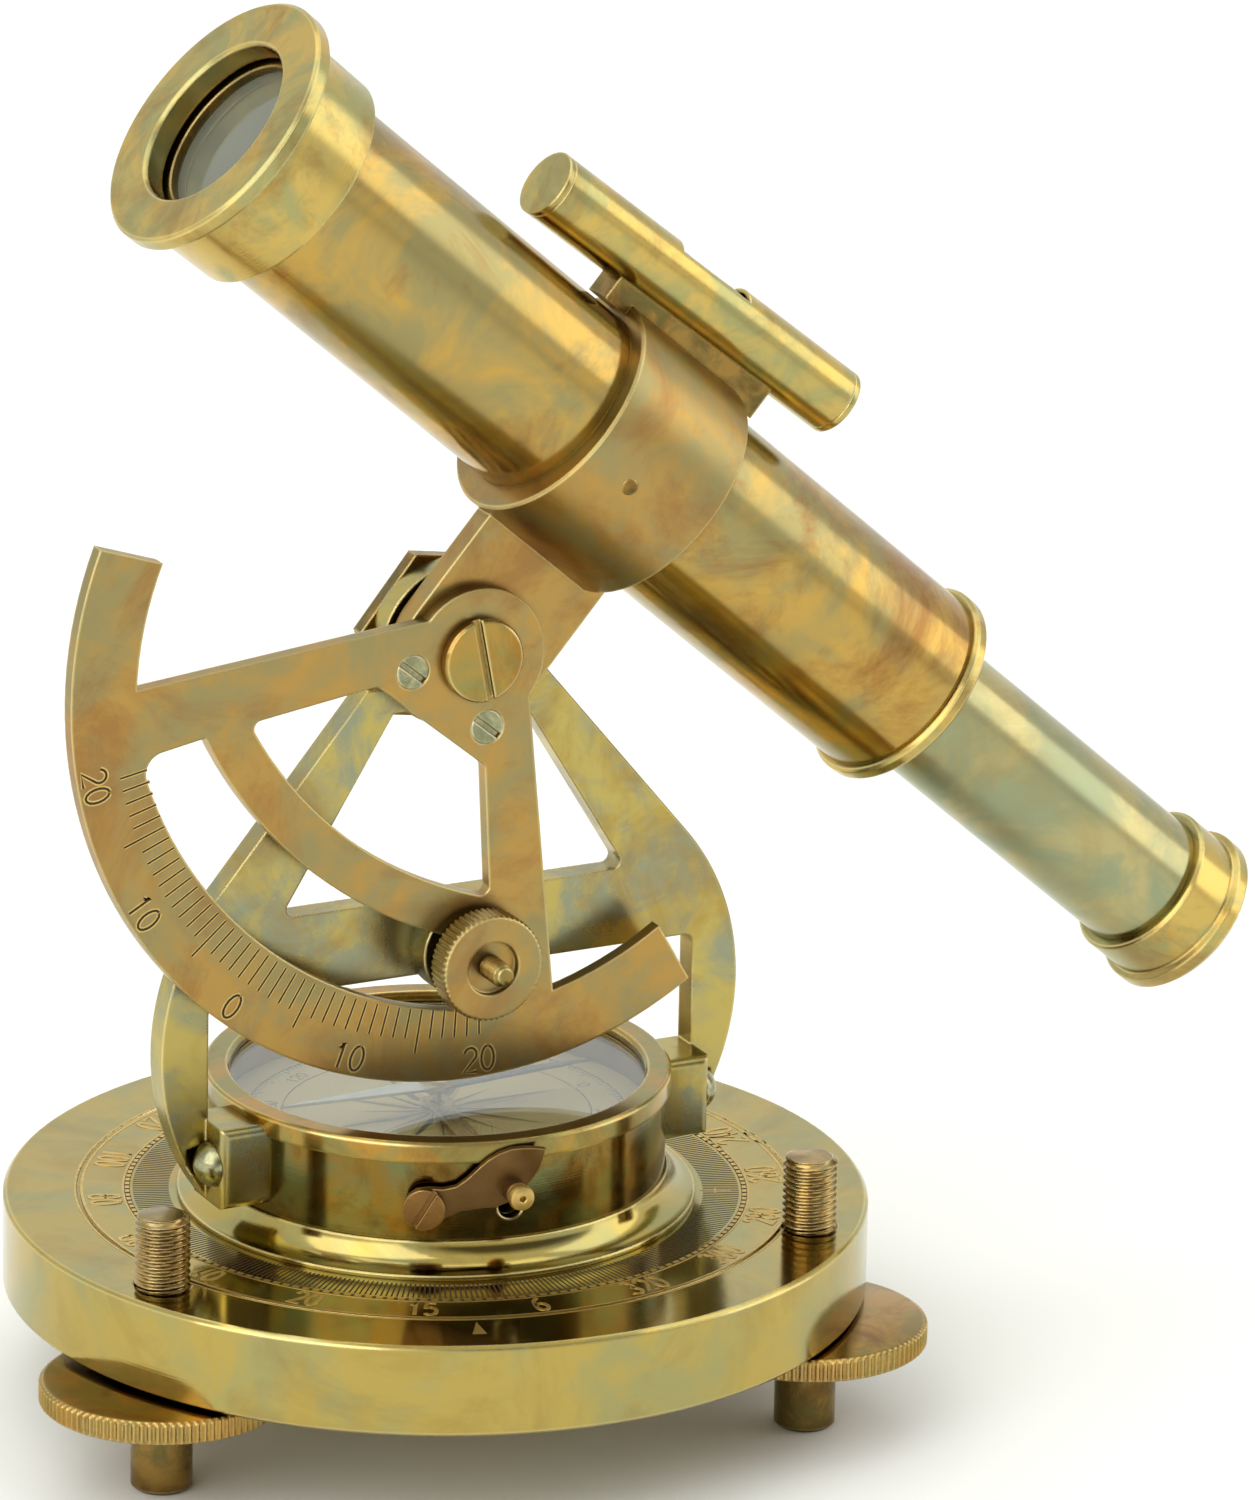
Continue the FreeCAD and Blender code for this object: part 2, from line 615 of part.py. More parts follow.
def make_pivot():
    """Slotted pivot screw, friction washer and thin hexagon nut."""
    back = FRAME_FRONT + FRAME_T
    head_back = SECTOR_FRONT - FACE_GAP
    head = across(PIVOT_HEAD_R, head_back - PIVOT_HEAD_T, head_back)
    rim = [edge for edge in head.Edges if edge.CenterOfMass.y < head_back - PIVOT_HEAD_T + 0.01]
    head = head.makeChamfer(PIVOT_CHAMFER, rim)
    shank = across(PIVOT_SHANK_R, head_back, back + NUT_T + 0.4)
    slot = Part.makeBox(
        PIVOT_SLOT,
        PIVOT_SLOT_DEPTH,
        2 * PIVOT_HEAD_R,
        Vector(-PIVOT_SLOT / 2, head_back - PIVOT_HEAD_T, -PIVOT_HEAD_R),
    )
    slot.rotate(Vector(0, 0, 0), AXIS_Y, -PIVOT_SLOT_LEAN)
    screw = head.fuse(shank).removeSplitter().cut(slot)
    save("pivot_screw", on_pivot(screw, 0))
    washer_front = SECTOR_FRONT + SECTOR_T + BRACKET_T + FACE_GAP
    washer = across(PIVOT_WASHER_R, washer_front, FRAME_FRONT)
    save("pivot_washer", on_pivot(washer.cut(across(PIVOT_SHANK_R, washer_front, FRAME_FRONT)), 0))
    corners = [below(NUT_CORNER_R, NUT_TURN + 60 * corner) for corner in range(6)]
    nut = plate(corners, back, NUT_T).cut(across(PIVOT_SHANK_R, back, back + NUT_T))
    save("pivot_nut", on_pivot(nut, 0))


def spoke_point(radius, side, angle, offset):
    """Point on a spoke's edge at a distance from the pivot. The edge runs beside a radius."""
    along = math.sqrt(radius**2 - offset**2)
    lean = math.radians(angle)
    x = along * math.sin(lean) + offset * math.cos(lean)
    z = -along * math.cos(lean) + offset * math.sin(lean)
    return Vector(side * x, 0, z)


def inner_edge(radius, side):
    """Point on the side of a spoke that faces the slot and the window."""
    return spoke_point(radius, side, SPOKE_IN_ANGLE, SPOKE_IN_OFFSET)


def make_sector():
    """Graduated arc with two spokes, a hub, a narrow inner arc and the clamp's slot."""
    front = SECTOR_FRONT
    half = SECTOR_HALF_ANGLE
    band = plate(
        [
            below(SECTOR_R, -half),
            (below(SECTOR_R, 0), below(SECTOR_R, half)),
            below(SECTOR_HORN_IN_R, half + 0.6),
            (below(SECTOR_HORN_IN_R, 0), below(SECTOR_HORN_IN_R, -half - 0.6)),
        ],
        front,
        SECTOR_T,
    )
    outer_r = SECTOR_R - 3
    web_end = [spoke_point(outer_r, side, SPOKE_OUT_ANGLE, SPOKE_OUT_OFFSET) for side in (-1, 1)]
    web_top = [spoke_point(SPOKE_OUT_OFFSET, side, SPOKE_OUT_ANGLE, SPOKE_OUT_OFFSET) for side in (-1, 1)]
    web = plate(
        [web_top[0], web_end[0], (below(outer_r, 0), web_end[1]), web_top[1]], front, SECTOR_T
    )
    slot = plate(
        [
            inner_edge(SLOT_OUT_END_R, -1),
            (below(SLOT_OUT_MID_R, 0), inner_edge(SLOT_OUT_END_R, 1)),
            inner_edge(SLOT_IN_END_R, 1),
            (below(SLOT_IN_MID_R, 0), inner_edge(SLOT_IN_END_R, -1)),
        ],
        front,
        SECTOR_T,
    )
    slot = rounded(slot, 3.0, lambda point: math.hypot(point.x, point.z) > SLOT_OUT_MID_R)
    chord = [inner_edge(math.hypot(WEB_CHORD, WEB_CHORD * 0.84), side) for side in (-1, 1)]
    window = plate(
        [
            Vector(chord[0].x, 0, -WEB_CHORD),
            inner_edge(WINDOW_END_R, -1),
            (below(WINDOW_MID_R, 0), inner_edge(WINDOW_END_R, 1)),
            Vector(chord[1].x, 0, -WEB_CHORD),
        ],
        front,
        SECTOR_T,
    )
    window = rounded(window, 1.2)
    sector = band.fuse([web, across(SECTOR_HUB_R, front, front + SECTOR_T)]).removeSplitter()
    sector = sector.cut([slot, window, across(PIVOT_SHANK_R + RUNNING_GAP, front, front + SECTOR_T)])
    screws = []
    for side in (-1, 1):
        centre = below(SECTOR_SCREW_CIRCLE, side * SECTOR_SCREW_ANGLE)
        head = across(SECTOR_HEAD_R, front, front + 1.2, centre.x, centre.z)
        back = front + SECTOR_T + BRACKET_T - 0.4
        shank = across(SECTOR_SCREW_R, front + 1.2, back, centre.x, centre.z)
        screw = head.fuse(shank).removeSplitter()
        sector = sector.cut(screw)
        groove = Part.makeBox(
            2 * SECTOR_HEAD_R, 0.5, 0.8, Vector(centre.x - SECTOR_HEAD_R, front, centre.z - 0.4)
        )
        screws.append(screw.cut(groove))
    save("sector", on_pivot(sector, TILT + SECTOR_LEAN))
    save("sector_screws", *[on_pivot(screw, TILT + SECTOR_LEAN) for screw in screws])


def make_clamp():
    """Stud in the cross-bar, spacer behind the sector and the knurled nut in front."""
    z = -STUD_CIRCLE
    back = FRAME_FRONT + FRAME_T
    save("clamp_stud", on_pivot(across(STUD_R, STUD_TIP, back, 0, z), 0))
    spacer_front = SECTOR_FRONT + SECTOR_T + FACE_GAP
    spacer = across(SPACER_R, spacer_front, FRAME_FRONT, 0, z)
    save("clamp_spacer", on_pivot(spacer.cut(across(STUD_R, spacer_front, FRAME_FRONT, 0, z)), 0))
    nut = across(CLAMP_R, CLAMP_FRONT, CLAMP_BACK, 0, z)
    shoulder = across(CLAMP_SHOULDER_R, CLAMP_BACK, SECTOR_FRONT - 2 * FACE_GAP, 0, z)
    recess = across(CLAMP_RECESS_R, CLAMP_FRONT, CLAMP_FRONT + CLAMP_RECESS, 0, z)
    bore = across(STUD_R + RUNNING_GAP, CLAMP_FRONT, SECTOR_FRONT, 0, z)
    save("clamp_nut", on_pivot(nut.fuse(shoulder).removeSplitter().cut([recess, bore]), 0))


def make_bracket():
    """Collar round the tube with the flat bracket that hangs on the pivot."""
    front = SECTOR_FRONT + SECTOR_T
    half = BRACKET_HALF
    flat = plate(
        [
            Vector(half, 0, 0),
            Vector(half, 0, TUBE_HEIGHT - TUBE_R),
            Vector(-half, 0, TUBE_HEIGHT - TUBE_R),
            Vector(-half, 0, 0),
            (Vector(0, 0, -half), Vector(half, 0, 0)),
        ],
        front,
        BRACKET_T,
    )
    collar = turned(
        [
            (0, COLLAR_START),
            (COLLAR_R - 0.3, COLLAR_START),
            (COLLAR_R, COLLAR_START + 0.3),
            (COLLAR_R, COLLAR_END - 0.3),
            (COLLAR_R - 0.3, COLLAR_END),
            (0, COLLAR_END),
        ],
        AXIS_X,
    )
    bore = turned(solid_bar(TUBE_R, COLLAR_START, COLLAR_END), AXIS_X)
    collar.translate(Vector(0, TUBE_Y, TUBE_HEIGHT - COLLAR_DROP))
    bore.translate(Vector(0, TUBE_Y, TUBE_HEIGHT))
    cuts = [bore, across(PIVOT_SHANK_R + RUNNING_GAP, front, front + BRACKET_T)]
    bracket = flat.fuse(collar).removeSplitter().cut(cuts)
    holes = []
    for side in (-1, 1):
        centre = below(SECTOR_SCREW_CIRCLE, side * SECTOR_SCREW_ANGLE - SECTOR_LEAN)
        holes.append(across(SECTOR_SCREW_R, front, front + BRACKET_T - 0.4, centre.x, centre.z))
    save("collar_bracket", on_pivot(bracket.cut(holes), TILT))


def tube_part(name, profile):
    """Turned part on the telescope's axis, from (radius, s) points."""
    save(name, on_tube(turned(profile, AXIS_X)))


def hollow(outer, inner, start, end):
    """Profile of a plain tube or ring."""
    return [(inner, start), (outer, start), (outer, end), (inner, end)]


def solid_bar(radius, start, end):
    """Profile of a plain round bar."""
    return hollow(radius, 0, start, end)


def make_lens(name, radius, start, thickness, bulge):
    """Disc with two bulging faces, cut from a cylinder by two spheres."""
    ball_r = (radius**2 + bulge**2) / (2 * bulge)
    end = start + thickness
    blank = Part.makeCylinder(radius, thickness + 4 * bulge, Vector(start - 2 * bulge, 0, 0), AXIS_X)
    front = Part.makeSphere(ball_r, Vector(start - bulge + ball_r, 0, 0))
    back = Part.makeSphere(ball_r, Vector(end + bulge - ball_r, 0, 0))
    save(name, on_tube(blank.common(front).common(back)))


def make_telescope():
    """Main tube, objective cap with its lens, end ring and guide bush."""
    inner = TUBE_R - TUBE_WALL
    tube_part("main_tube", hollow(TUBE_R, inner, TUBE_START, TUBE_END))
    flange_back = CAP_FACE + CAP_FLANGE_T
    tube_part(
        "objective_cap",
        [
            (CAP_BORE_R, CAP_FACE + 0.4),
            (CAP_BORE_R + 0.4, CAP_FACE),
            (CAP_FLANGE_R - 0.4, CAP_FACE),
            (CAP_FLANGE_R, CAP_FACE + 0.4),
            (CAP_FLANGE_R, flange_back),
            (CAP_BARREL_R + 0.3, flange_back),
            (CAP_BARREL_R, CAP_END),
            (TUBE_R, CAP_END),
            (TUBE_R, TUBE_START),
            (CAP_BORE_R, TUBE_START),
        ],
    )
    lens_end = LENS_START + LENS_T
    make_lens("objective_lens", LENS_R, LENS_START, LENS_T, LENS_BULGE)
    ring_end = LENS_START - LENS_EDGE_GAP
    tube_part("objective_ring", hollow(inner, LENS_RING_IN_R, ring_end - LENS_RING_T, ring_end))
    seat_start = lens_end + LENS_EDGE_GAP
    seat_end = seat_start + 2 * LENS_RING_T
    tube_part("objective_seat", hollow(inner, LENS_RING_IN_R, seat_start, seat_end))
    bore = DRAW_R + RUNNING_GAP
    tube_part(
        "end_ring",
        [
            (bore, TUBE_END - BUSH_LENGTH),
            (inner, TUBE_END - BUSH_LENGTH),
            (inner, TUBE_END),
            (BEAD_R - 0.5, TUBE_END),
            (BEAD_R, TUBE_END + 0.5),
            (BEAD_R, TUBE_END + BEAD_T - 0.5),
            (BEAD_R - 0.5, TUBE_END + BEAD_T),
            (bore, TUBE_END + BEAD_T),
        ],
    )


def make_draw_tube():
    """Sliding tube with its piston ring, eyepiece cap, lens and lens ring."""
    inner = DRAW_R - DRAW_WALL
    tube_part("draw_tube", hollow(DRAW_R, inner, DRAW_START, DRAW_END))
    piston = TUBE_R - TUBE_WALL - RUNNING_GAP
    tube_part("draw_piston_ring", hollow(piston, DRAW_R, DRAW_START, DRAW_START + PISTON_T))
    tube_part(
        "eyepiece_cap",
        [
            (DRAW_R, EYE_START),
            (EYE_BARREL_R - 0.4, EYE_START),
            (EYE_BARREL_R, EYE_START + 0.4),
            (EYE_BARREL_R, EYE_BEAD_START),
            (EYE_BEAD_R, EYE_BEAD_START + 0.4),
            (EYE_BEAD_R, EYE_END - 0.8),
            (EYE_BEAD_R - 0.8, EYE_END),
            (EYE_HOLE_R + 1.5, EYE_END),
            (EYE_HOLE_R, EYE_END - 1.2),
            (EYE_HOLE_R, DRAW_END),
            (DRAW_R, DRAW_END),
        ],
    )
    lens_start = DRAW_END - 5.0
    make_lens("eye_lens", EYE_LENS_R, lens_start, EYE_LENS_T, EYE_LENS_BULGE)
    ring_start = lens_start + EYE_LENS_T + LENS_EDGE_GAP
    tube_part("eye_lens_ring", hollow(inner, EYE_LENS_R - 1.2, ring_start, ring_start + EYE_LENS_T))


def on_level(profile):
    """Turned part on the spirit level's axis."""
    return lean_with_level(turned(profile, AXIS_X))


def lean_with_level(shape):
    """Lift a shape onto the spirit level's axis, which leans a little from the tube."""
    shape.rotate(Vector(0, 0, 0), AXIS_Y, -LEVEL_LEAN)
    shape.translate(Vector(0, 0, LEVEL_HEIGHT))
    return shape


def make_level():
    """Level tube with end discs, glass vial and the saddle that carries it on the collar."""
    inner = LEVEL_R - LEVEL_WALL
    shell = on_level(hollow(LEVEL_R, inner, LEVEL_START + LEVEL_CAP_T, LEVEL_END - LEVEL_CAP_T))
    opening = Part.makeBox(
        LEVEL_WINDOW[1] - LEVEL_WINDOW[0],
        2 * LEVEL_WINDOW_HALF,
        LEVEL_R,
        Vector(LEVEL_WINDOW[0], -LEVEL_WINDOW_HALF, 0),
    )
    save("level_case", on_tube(shell.cut(lean_with_level(opening))))
    caps = []
    for start, way in ((LEVEL_START, 1), (LEVEL_END, -1)):
        back = start + way * LEVEL_CAP_T
        disc = on_level(solid_bar(LEVEL_R, min(start, back), max(start, back)))
        tip = back + way * LEVEL_PLUG
        plug = on_level(solid_bar(inner, min(tip, back), max(tip, back)))
        caps.append(on_tube(disc.fuse(plug).removeSplitter()))
    save("level_end_caps", *caps)
    save("level_vial", on_tube(on_level(solid_bar(VIAL_R, VIAL_START, VIAL_END))))
    packing = []
    for start in (VIAL_START, VIAL_END - PACKING_T):
        packing.append(on_tube(on_level(hollow(inner, VIAL_R, start, start + PACKING_T))))
    save("level_packing", *packing)
    saddle = Part.makeBox(
        SADDLE_END - SADDLE_START,
        2 * SADDLE_HALF,
        LEVEL_HEIGHT - TUBE_R,
        Vector(SADDLE_START, -SADDLE_HALF, TUBE_R),
    )
    collar_room = turned(solid_bar(COLLAR_R, COLLAR_START, COLLAR_END), AXIS_X)
    collar_room.translate(Vector(0, 0, -COLLAR_DROP))
    rooms = [
        on_level(solid_bar(LEVEL_R, LEVEL_START, LEVEL_END)),
        collar_room,
        turned(solid_bar(TUBE_R + SADDLE_LIFT, TUBE_START, TUBE_END), AXIS_X),
    ]
    save("level_saddle", on_tube(saddle.cut(rooms)))


os.makedirs("parts", exist_ok=True)
make_base()
make_levelling_screws()
make_azimuth_bearing()
make_compass_shell()
make_needle()
make_lock_lever()
make_lug_screws()
make_upright()
make_pivot()
make_sector()
make_clamp()
make_bracket()
make_telescope()
make_draw_tube()
make_level()
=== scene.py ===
import math

import bmesh
import bpy
from mathutils import Matrix, Vector


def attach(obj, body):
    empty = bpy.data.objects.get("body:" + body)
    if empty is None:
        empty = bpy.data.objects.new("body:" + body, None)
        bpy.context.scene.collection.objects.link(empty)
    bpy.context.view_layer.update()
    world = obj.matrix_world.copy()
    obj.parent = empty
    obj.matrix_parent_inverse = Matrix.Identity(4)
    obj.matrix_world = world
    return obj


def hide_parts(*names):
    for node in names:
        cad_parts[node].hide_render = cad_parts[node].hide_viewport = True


MM = 0.001

# the instrument's own dimensions: lengths in millimetres, angles in degrees
BASE_TOP = 30.5
NUMBER_RING_R = 48.0
NUMBER_RING_TURN = -78.0
FIRST_NUMBER = 320
MILLED_RING_R = 44.6
LINE_RING_R = 41.2
SCREW_CIRCLE_R = 55.2
SCREW_ANGLES = {"left": -160.0, "right": -40.0, "back": 80.0}
WHEEL_R = 17.4
PIVOT_Z = 114.3
SECTOR_FACE_Y = -11.9
SECTOR_TURN = 39.3
SECTOR_LINE_R = 57.0
SECTOR_NUMBER_R = 60.2
STUD_Z = 69.7
NUT_R = 7.9
TUBE_TILT = 40.9
TUBE_HEIGHT = 35.2
TUBE_Y = -7.7
LEVEL_HEIGHT = 24.3
LEVEL_LEAN = 2.4
BUBBLE_RISE = -2.2
DIAL_TOP = 41.5
DIAL_TURN = 2.0
LEVER_SCREW_ANGLE = -118.7
LEVER_SCREW_Z = 40.6
LEVER_PEG_ANGLE = -97.6
LEVER_PEG_Z = 42.8
LEVER_INSIDE_R = 33.9
LEVER_THICKNESS = 0.8
LEVER_EDGE = 0.15
LEVER_CURL_START = 15.2
LEVER_CURL = 0.9
PEG_R = 1.75
COLLAR_R = 17.8
COLLAR_DROP = 0.6
PLUG_ALONG = -5.2
PLUG_ANGLE = 101.4

# how marks and threads are made
MARK_SINK = 0.1
ROWS_PER_PITCH = 8
LEAD_IN = 0.5
FLOOR_HALF = 9000


# ---------------------------------------------------------------- mesh making

def add_piece(name, mesh, body, material, stands_for=()):
    """A finished mesh becomes a piece that rides on a body and takes a finish."""
    data = bpy.data.meshes.new(name)
    bmesh.ops.recalc_face_normals(mesh, faces=mesh.faces)
    mesh.to_mesh(data)
    mesh.free()
    piece = bpy.data.objects.new(name, data)
    bpy.context.scene.collection.objects.link(piece)
    data.materials.append(material)
    data.shade_smooth()
    data.set_sharp_from_angle(angle=math.radians(35))
    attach(piece, body)
    for node in stands_for:
        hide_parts(node)
    return piece


def add_rings(mesh, rings, place=Matrix.Identity(4)):
    """Join closed loops of equal length into one closed skin with flat ends."""
    loops = [[mesh.verts.new(place @ (Vector(point) * MM)) for point in ring] for ring in rings]
    count = len(loops[0])
    for low, high in zip(loops, loops[1:]):
        for k in range(count):
            nxt = (k + 1) % count
            mesh.faces.new((low[k], low[nxt], high[nxt], high[k]))
    mesh.faces.new(loops[0][::-1])
    mesh.faces.new(loops[-1])


def turned_rings(profile, steps, radius_at=None):
    """Loops of a turned solid about Z. The profile is (radius, height) from bottom to top."""
    rings = []
    for radius, height in profile:
        ring = []
        for k in range(steps):
            angle = 2 * math.pi * k / steps
            here = radius_at(radius, height, angle) if radius_at else radius
            ring.append((here * math.cos(angle), here * math.sin(angle), height))
        rings.append(ring)
    return rings


def add_ribbon(mesh, points, width, bottom, top, put, closed=False):
    """A flat strip of even width along a line of (across, up) points, laid on by put()."""
    count = len(points)
    sides = []
    for k, point in enumerate(points):
        before = points[k - 1] if (k or closed) else point
        after = points[(k + 1) % count] if (k < count - 1 or closed) else point
        run = (Vector(after) - Vector(before)).normalized()
        step = Vector((-run.y, run.x)) * width / 2
        sides.append((Vector(point) + step, Vector(point) - step))
    cuts = []
    for left, right in sides:
        corners = [put(*left, bottom), put(*left, top), put(*right, top), put(*right, bottom)]
        cuts.append([mesh.verts.new(corner * MM) for corner in corners])
    pairs = list(zip(cuts, cuts[1:]))
    if closed:
        pairs.append((cuts[-1], cuts[0]))
    for one, two in pairs:
        for k in range(4):
            nxt = (k + 1) % 4
            mesh.faces.new((one[k], one[nxt], two[nxt], two[k]))
    if not closed:
        mesh.faces.new(cuts[0][::-1])
        mesh.faces.new(cuts[-1])


def bow(x, y, wide, high, start, end, steps=14):
    """Points of part of an ellipse, by its centre, half sizes and angles in degrees."""
    turn = [math.radians(start + (end - start) * k / steps) for k in range(steps + 1)]
    return [(x + wide * math.cos(a), y + high * math.sin(a)) for a in turn]


# number punches: the strokes of each digit in a box 0.6 wide and 1 high
PUNCHES = {
    "0": [bow(0.3, 0.5, 0.27, 0.5, 90, 436)],
    "1": [[(0.15, 0.78), (0.33, 1.0), (0.33, 0.0)]],
    "2": [bow(0.3, 0.72, 0.27, 0.28, 165, -35) + [(0.03, 0.0), (0.58, 0.0)]],
    "3": [bow(0.28, 0.75, 0.25, 0.25, 150, -80), bow(0.28, 0.26, 0.29, 0.26, 85, -150)],
    "4": [[(0.58, 0.3), (0.02, 0.3), (0.42, 1.0), (0.42, 0.0)]],
    "5": [[(0.55, 1.0), (0.12, 1.0), (0.06, 0.55)] + bow(0.28, 0.32, 0.29, 0.32, 120, -140)],
    "6": [bow(0.42, 0.5, 0.39, 0.5, 100, 180) + bow(0.3, 0.29, 0.27, 0.29, 180, 520)],
    "7": [[(0.04, 1.0), (0.57, 1.0), (0.2, 0.0)]],
    "8": [bow(0.3, 0.76, 0.23, 0.24, -90, 256), bow(0.3, 0.27, 0.28, 0.27, 90, 436)],
    "9": [bow(0.3, 0.71, 0.27, 0.29, 0, 346), bow(0.18, 0.5, 0.39, 0.5, 0, -80)],
}


def number_strokes(text, height, width):
    """Strokes of a whole number, centred on the origin."""
    step = width * 1.25
    start = -(len(text) * step - width * 0.25) / 2
    strokes = []
    for k, digit in enumerate(text):
        for stroke in PUNCHES[digit]:
            strokes.append([
                (start + k * step + x * width / 0.6, (y - 0.5) * height) for x, y in stroke
            ])
    return strokes


# two numbers of the base ring that the maker punched wrongly
ODD_PUNCHES = {0: "15", 340: "6"}


# ------------------------------------------------------------------ materials

def colour(code):
    """Linear colour of an sRGB hex value."""
    parts = [int(code[k : k + 2], 16) / 255 for k in (1, 3, 5)]
    linear = [part / 12.92 if part <= 0.04045 else ((part + 0.055) / 1.055) ** 2.4 for part in parts]
    return linear + [1.0]


def add_node(tree, kind, settings, links):
    """One shader node with its settings and the outputs that feed it."""
    node = tree.nodes.new("ShaderNode" + kind)
    for key, value in settings.items():
        if isinstance(key, str) and key not in node.inputs:
            setattr(node, key, value)
        else:
            node.inputs[key].default_value = value
    for key, source in links.items():
        tree.links.new(source, node.inputs[key])
    return node


def start_material(name):
    """An empty material and its node tree."""
    material = bpy.data.materials.new(name)
    material.use_nodes = True
    material.node_tree.nodes.clear()
    return material, material.node_tree


def finish_material(tree, settings, links):
    """The surface shader and the output."""
    shader = add_node(tree, "BsdfPrincipled", settings, links)
    add_node(tree, "OutputMaterial", {}, {"Surface": shader.outputs["BSDF"]})
    return shader


UPRIGHT_AXIS = ((0.0, 0.0, 0.0), -90.0)
TUBE_AXIS = (
    (
        TUBE_HEIGHT * math.sin(math.radians(TUBE_TILT)) * MM,
        TUBE_Y * MM,
        (PIVOT_Z + TUBE_HEIGHT * math.cos(math.radians(TUBE_TILT))) * MM,
    ),
    TUBE_TILT,
)


def aged_brass(name, gold, olive, umber, bright, gloss, axis=UPRIGHT_AXIS, turned_mm=0.0,
               brushed_mm=0.0, patch_mm=14.0, umber_share=0.5, pits=0.0, blacked_within=0.0,
               edge_mm=0.55):
    """Brass under thin old lacquer: golden ground, olive and umber clouds, painted shade near other
    surfaces, edges rubbed bright and painted as highlights.

    gloss is the roughness of the cleanest and of the dullest patches. turned_mm is the spacing of
    lathe lines round the axis, brushed_mm that of straight emery lines along it. Inside
    blacked_within of the axis the metal is blacked. edge_mm is how far the bright edge, rubbed
    wear with a painted highlight, reaches in from an edge.
    """
    material, tree = start_material(name)
    here = add_node(tree, "TexCoord", {}, {}).outputs["Object"]
    on_axis = add_node(
        tree, "Mapping",
        {"vector_type": "TEXTURE", "Location": axis[0], "Rotation": (0, math.radians(axis[1]), 0)},
        {"Vector": here},
    ).outputs["Vector"]

    # clouds of tarnish, a few to the width of a part
    clouds = add_node(
        tree, "TexNoise",
        {"Scale": 1 / (patch_mm * MM), "Detail": 5.0, "Roughness": 0.62, "Distortion": 0.6},
        {"Vector": here},
    ).outputs["Fac"]
    drift = add_node(
        tree, "TexNoise",
        {"Scale": 0.55 / (patch_mm * MM), "Detail": 6.0, "Roughness": 0.7, "Distortion": 1.2},
        {"Vector": on_axis},
    ).outputs["Fac"]
    olive_part = add_node(
        tree, "MapRange", {"From Min": 0.42, "From Max": 0.58}, {"Value": clouds}
    ).outputs["Result"]
    umber_part = add_node(
        tree, "MapRange",
        {"From Min": 0.48, "From Max": 0.66, "To Max": umber_share},
        {"Value": drift},
    ).outputs["Result"]
    ground = add_node(
        tree, "MixRGB", {"Color1": colour(gold), "Color2": colour(olive)}, {"Fac": olive_part}
    ).outputs["Color"]
    stained = add_node(
        tree, "MixRGB", {"Color2": colour(umber)}, {"Fac": umber_part, "Color1": ground}
    ).outputs["Color"]

    # painted shade: dark brown where nearby surfaces block the light (corners, grooves, faces close to
    # other parts); and edges rubbed back to clean metal, painted paler as highlights
    rounded = add_node(tree, "Bevel", {"samples": 4, "Radius": edge_mm * MM}, {}).outputs["Normal"]
    flat = add_node(tree, "NewGeometry", {}, {}).outputs["Normal"]
    facing = add_node(
        tree, "VectorMath", {"operation": "DOT_PRODUCT"}, {0: rounded, 1: flat}
    ).outputs["Value"]
    # Edge brightening, partly rubbed wear and partly painted highlight: where the Bevel normal turns
    # away from the true normal, the pale edge colour is mixed in.
    edge_mask = add_node(
        tree, "MapRange", {"From Min": 0.992, "From Max": 0.89, "To Max": 0.95}, {"Value": facing}
    ).outputs["Result"]
    # Painted shade: an occlusion test within 2.5 mm mixes dark brown into the colour where other
    # surfaces are close by.
    open_air = add_node(
        tree, "AmbientOcclusion", {"samples": 4, "Distance": 2.5 * MM}, {}
    ).outputs["AO"]
    painted_shade_mask = add_node(
        tree, "MapRange", {"From Min": 0.7, "From Max": 0.2, "To Max": 0.7}, {"Value": open_air}
    ).outputs["Result"]
    with_painted_shade = add_node(
        tree, "MixRGB", {"Color2": colour("#4A3514")}, {"Fac": painted_shade_mask, "Color1": stained}
    ).outputs["Color"]
    worn_with_painted_light = add_node(
        tree, "MixRGB", {"Color2": colour(bright)}, {"Fac": edge_mask, "Color1": with_painted_shade}
    ).outputs["Color"]

    # fine specks about half a millimetre across, where the lacquer has broken
    specks = add_node(
        tree, "TexNoise", {"Scale": 1 / (0.9 * MM), "Detail": 3.0, "Roughness": 0.7}, {"Vector": here}
    ).outputs["Fac"]
    dull = add_node(
        tree, "MapRange",
        {"From Min": 0.3, "From Max": 0.75, "To Min": gloss[0], "To Max": gloss[1]},
        {"Value": clouds},
    ).outputs["Result"]
    height = add_node(
        tree, "Math", {"operation": "MULTIPLY", 1: 0.35 + pits}, {0: specks}
    ).outputs["Value"]

    parts = add_node(tree, "SeparateXYZ", {}, {"Vector": on_axis}).outputs
    if turned_mm:
        out = add_node(
            tree, "CombineXYZ", {}, {"Y": parts["Y"], "Z": parts["Z"]}
        ).outputs["Vector"]
        radius = add_node(tree, "VectorMath", {"operation": "LENGTH"}, {0: out}).outputs["Value"]
        along = add_node(
            tree, "CombineXYZ", {}, {"X": parts["X"], "Y": radius}
        ).outputs["Vector"]
        lines = add_node(
            tree, "TexNoise", {"Scale": 1 / (turned_mm * MM), "Detail": 2.0}, {"Vector": along}
        ).outputs["Fac"]
        height = add_node(tree, "Math", {"operation": "ADD"}, {0: height, 1: lines}).outputs["Value"]
    if brushed_mm:
        drawn = add_node(
            tree, "VectorMath", {"operation": "MULTIPLY", 1: (0.06, 1.0, 1.0)}, {0: on_axis}
        ).outputs["Vector"]
        lines = add_node(
            tree, "TexNoise", {"Scale": 1 / (brushed_mm * MM), "Detail": 4.0}, {"Vector": drawn}
        ).outputs["Fac"]
        height = add_node(tree, "Math", {"operation": "ADD"}, {0: height, 1: lines}).outputs["Value"]
        height = add_node(
            tree, "Math", {"operation": "MULTIPLY", 1: 0.6}, {0: height}
        ).outputs["Value"]
    relief = add_node(
        tree, "Bump", {"Strength": 0.35, "Distance": 0.02 * MM}, {"Height": height, "Normal": rounded}
    ).outputs["Normal"]

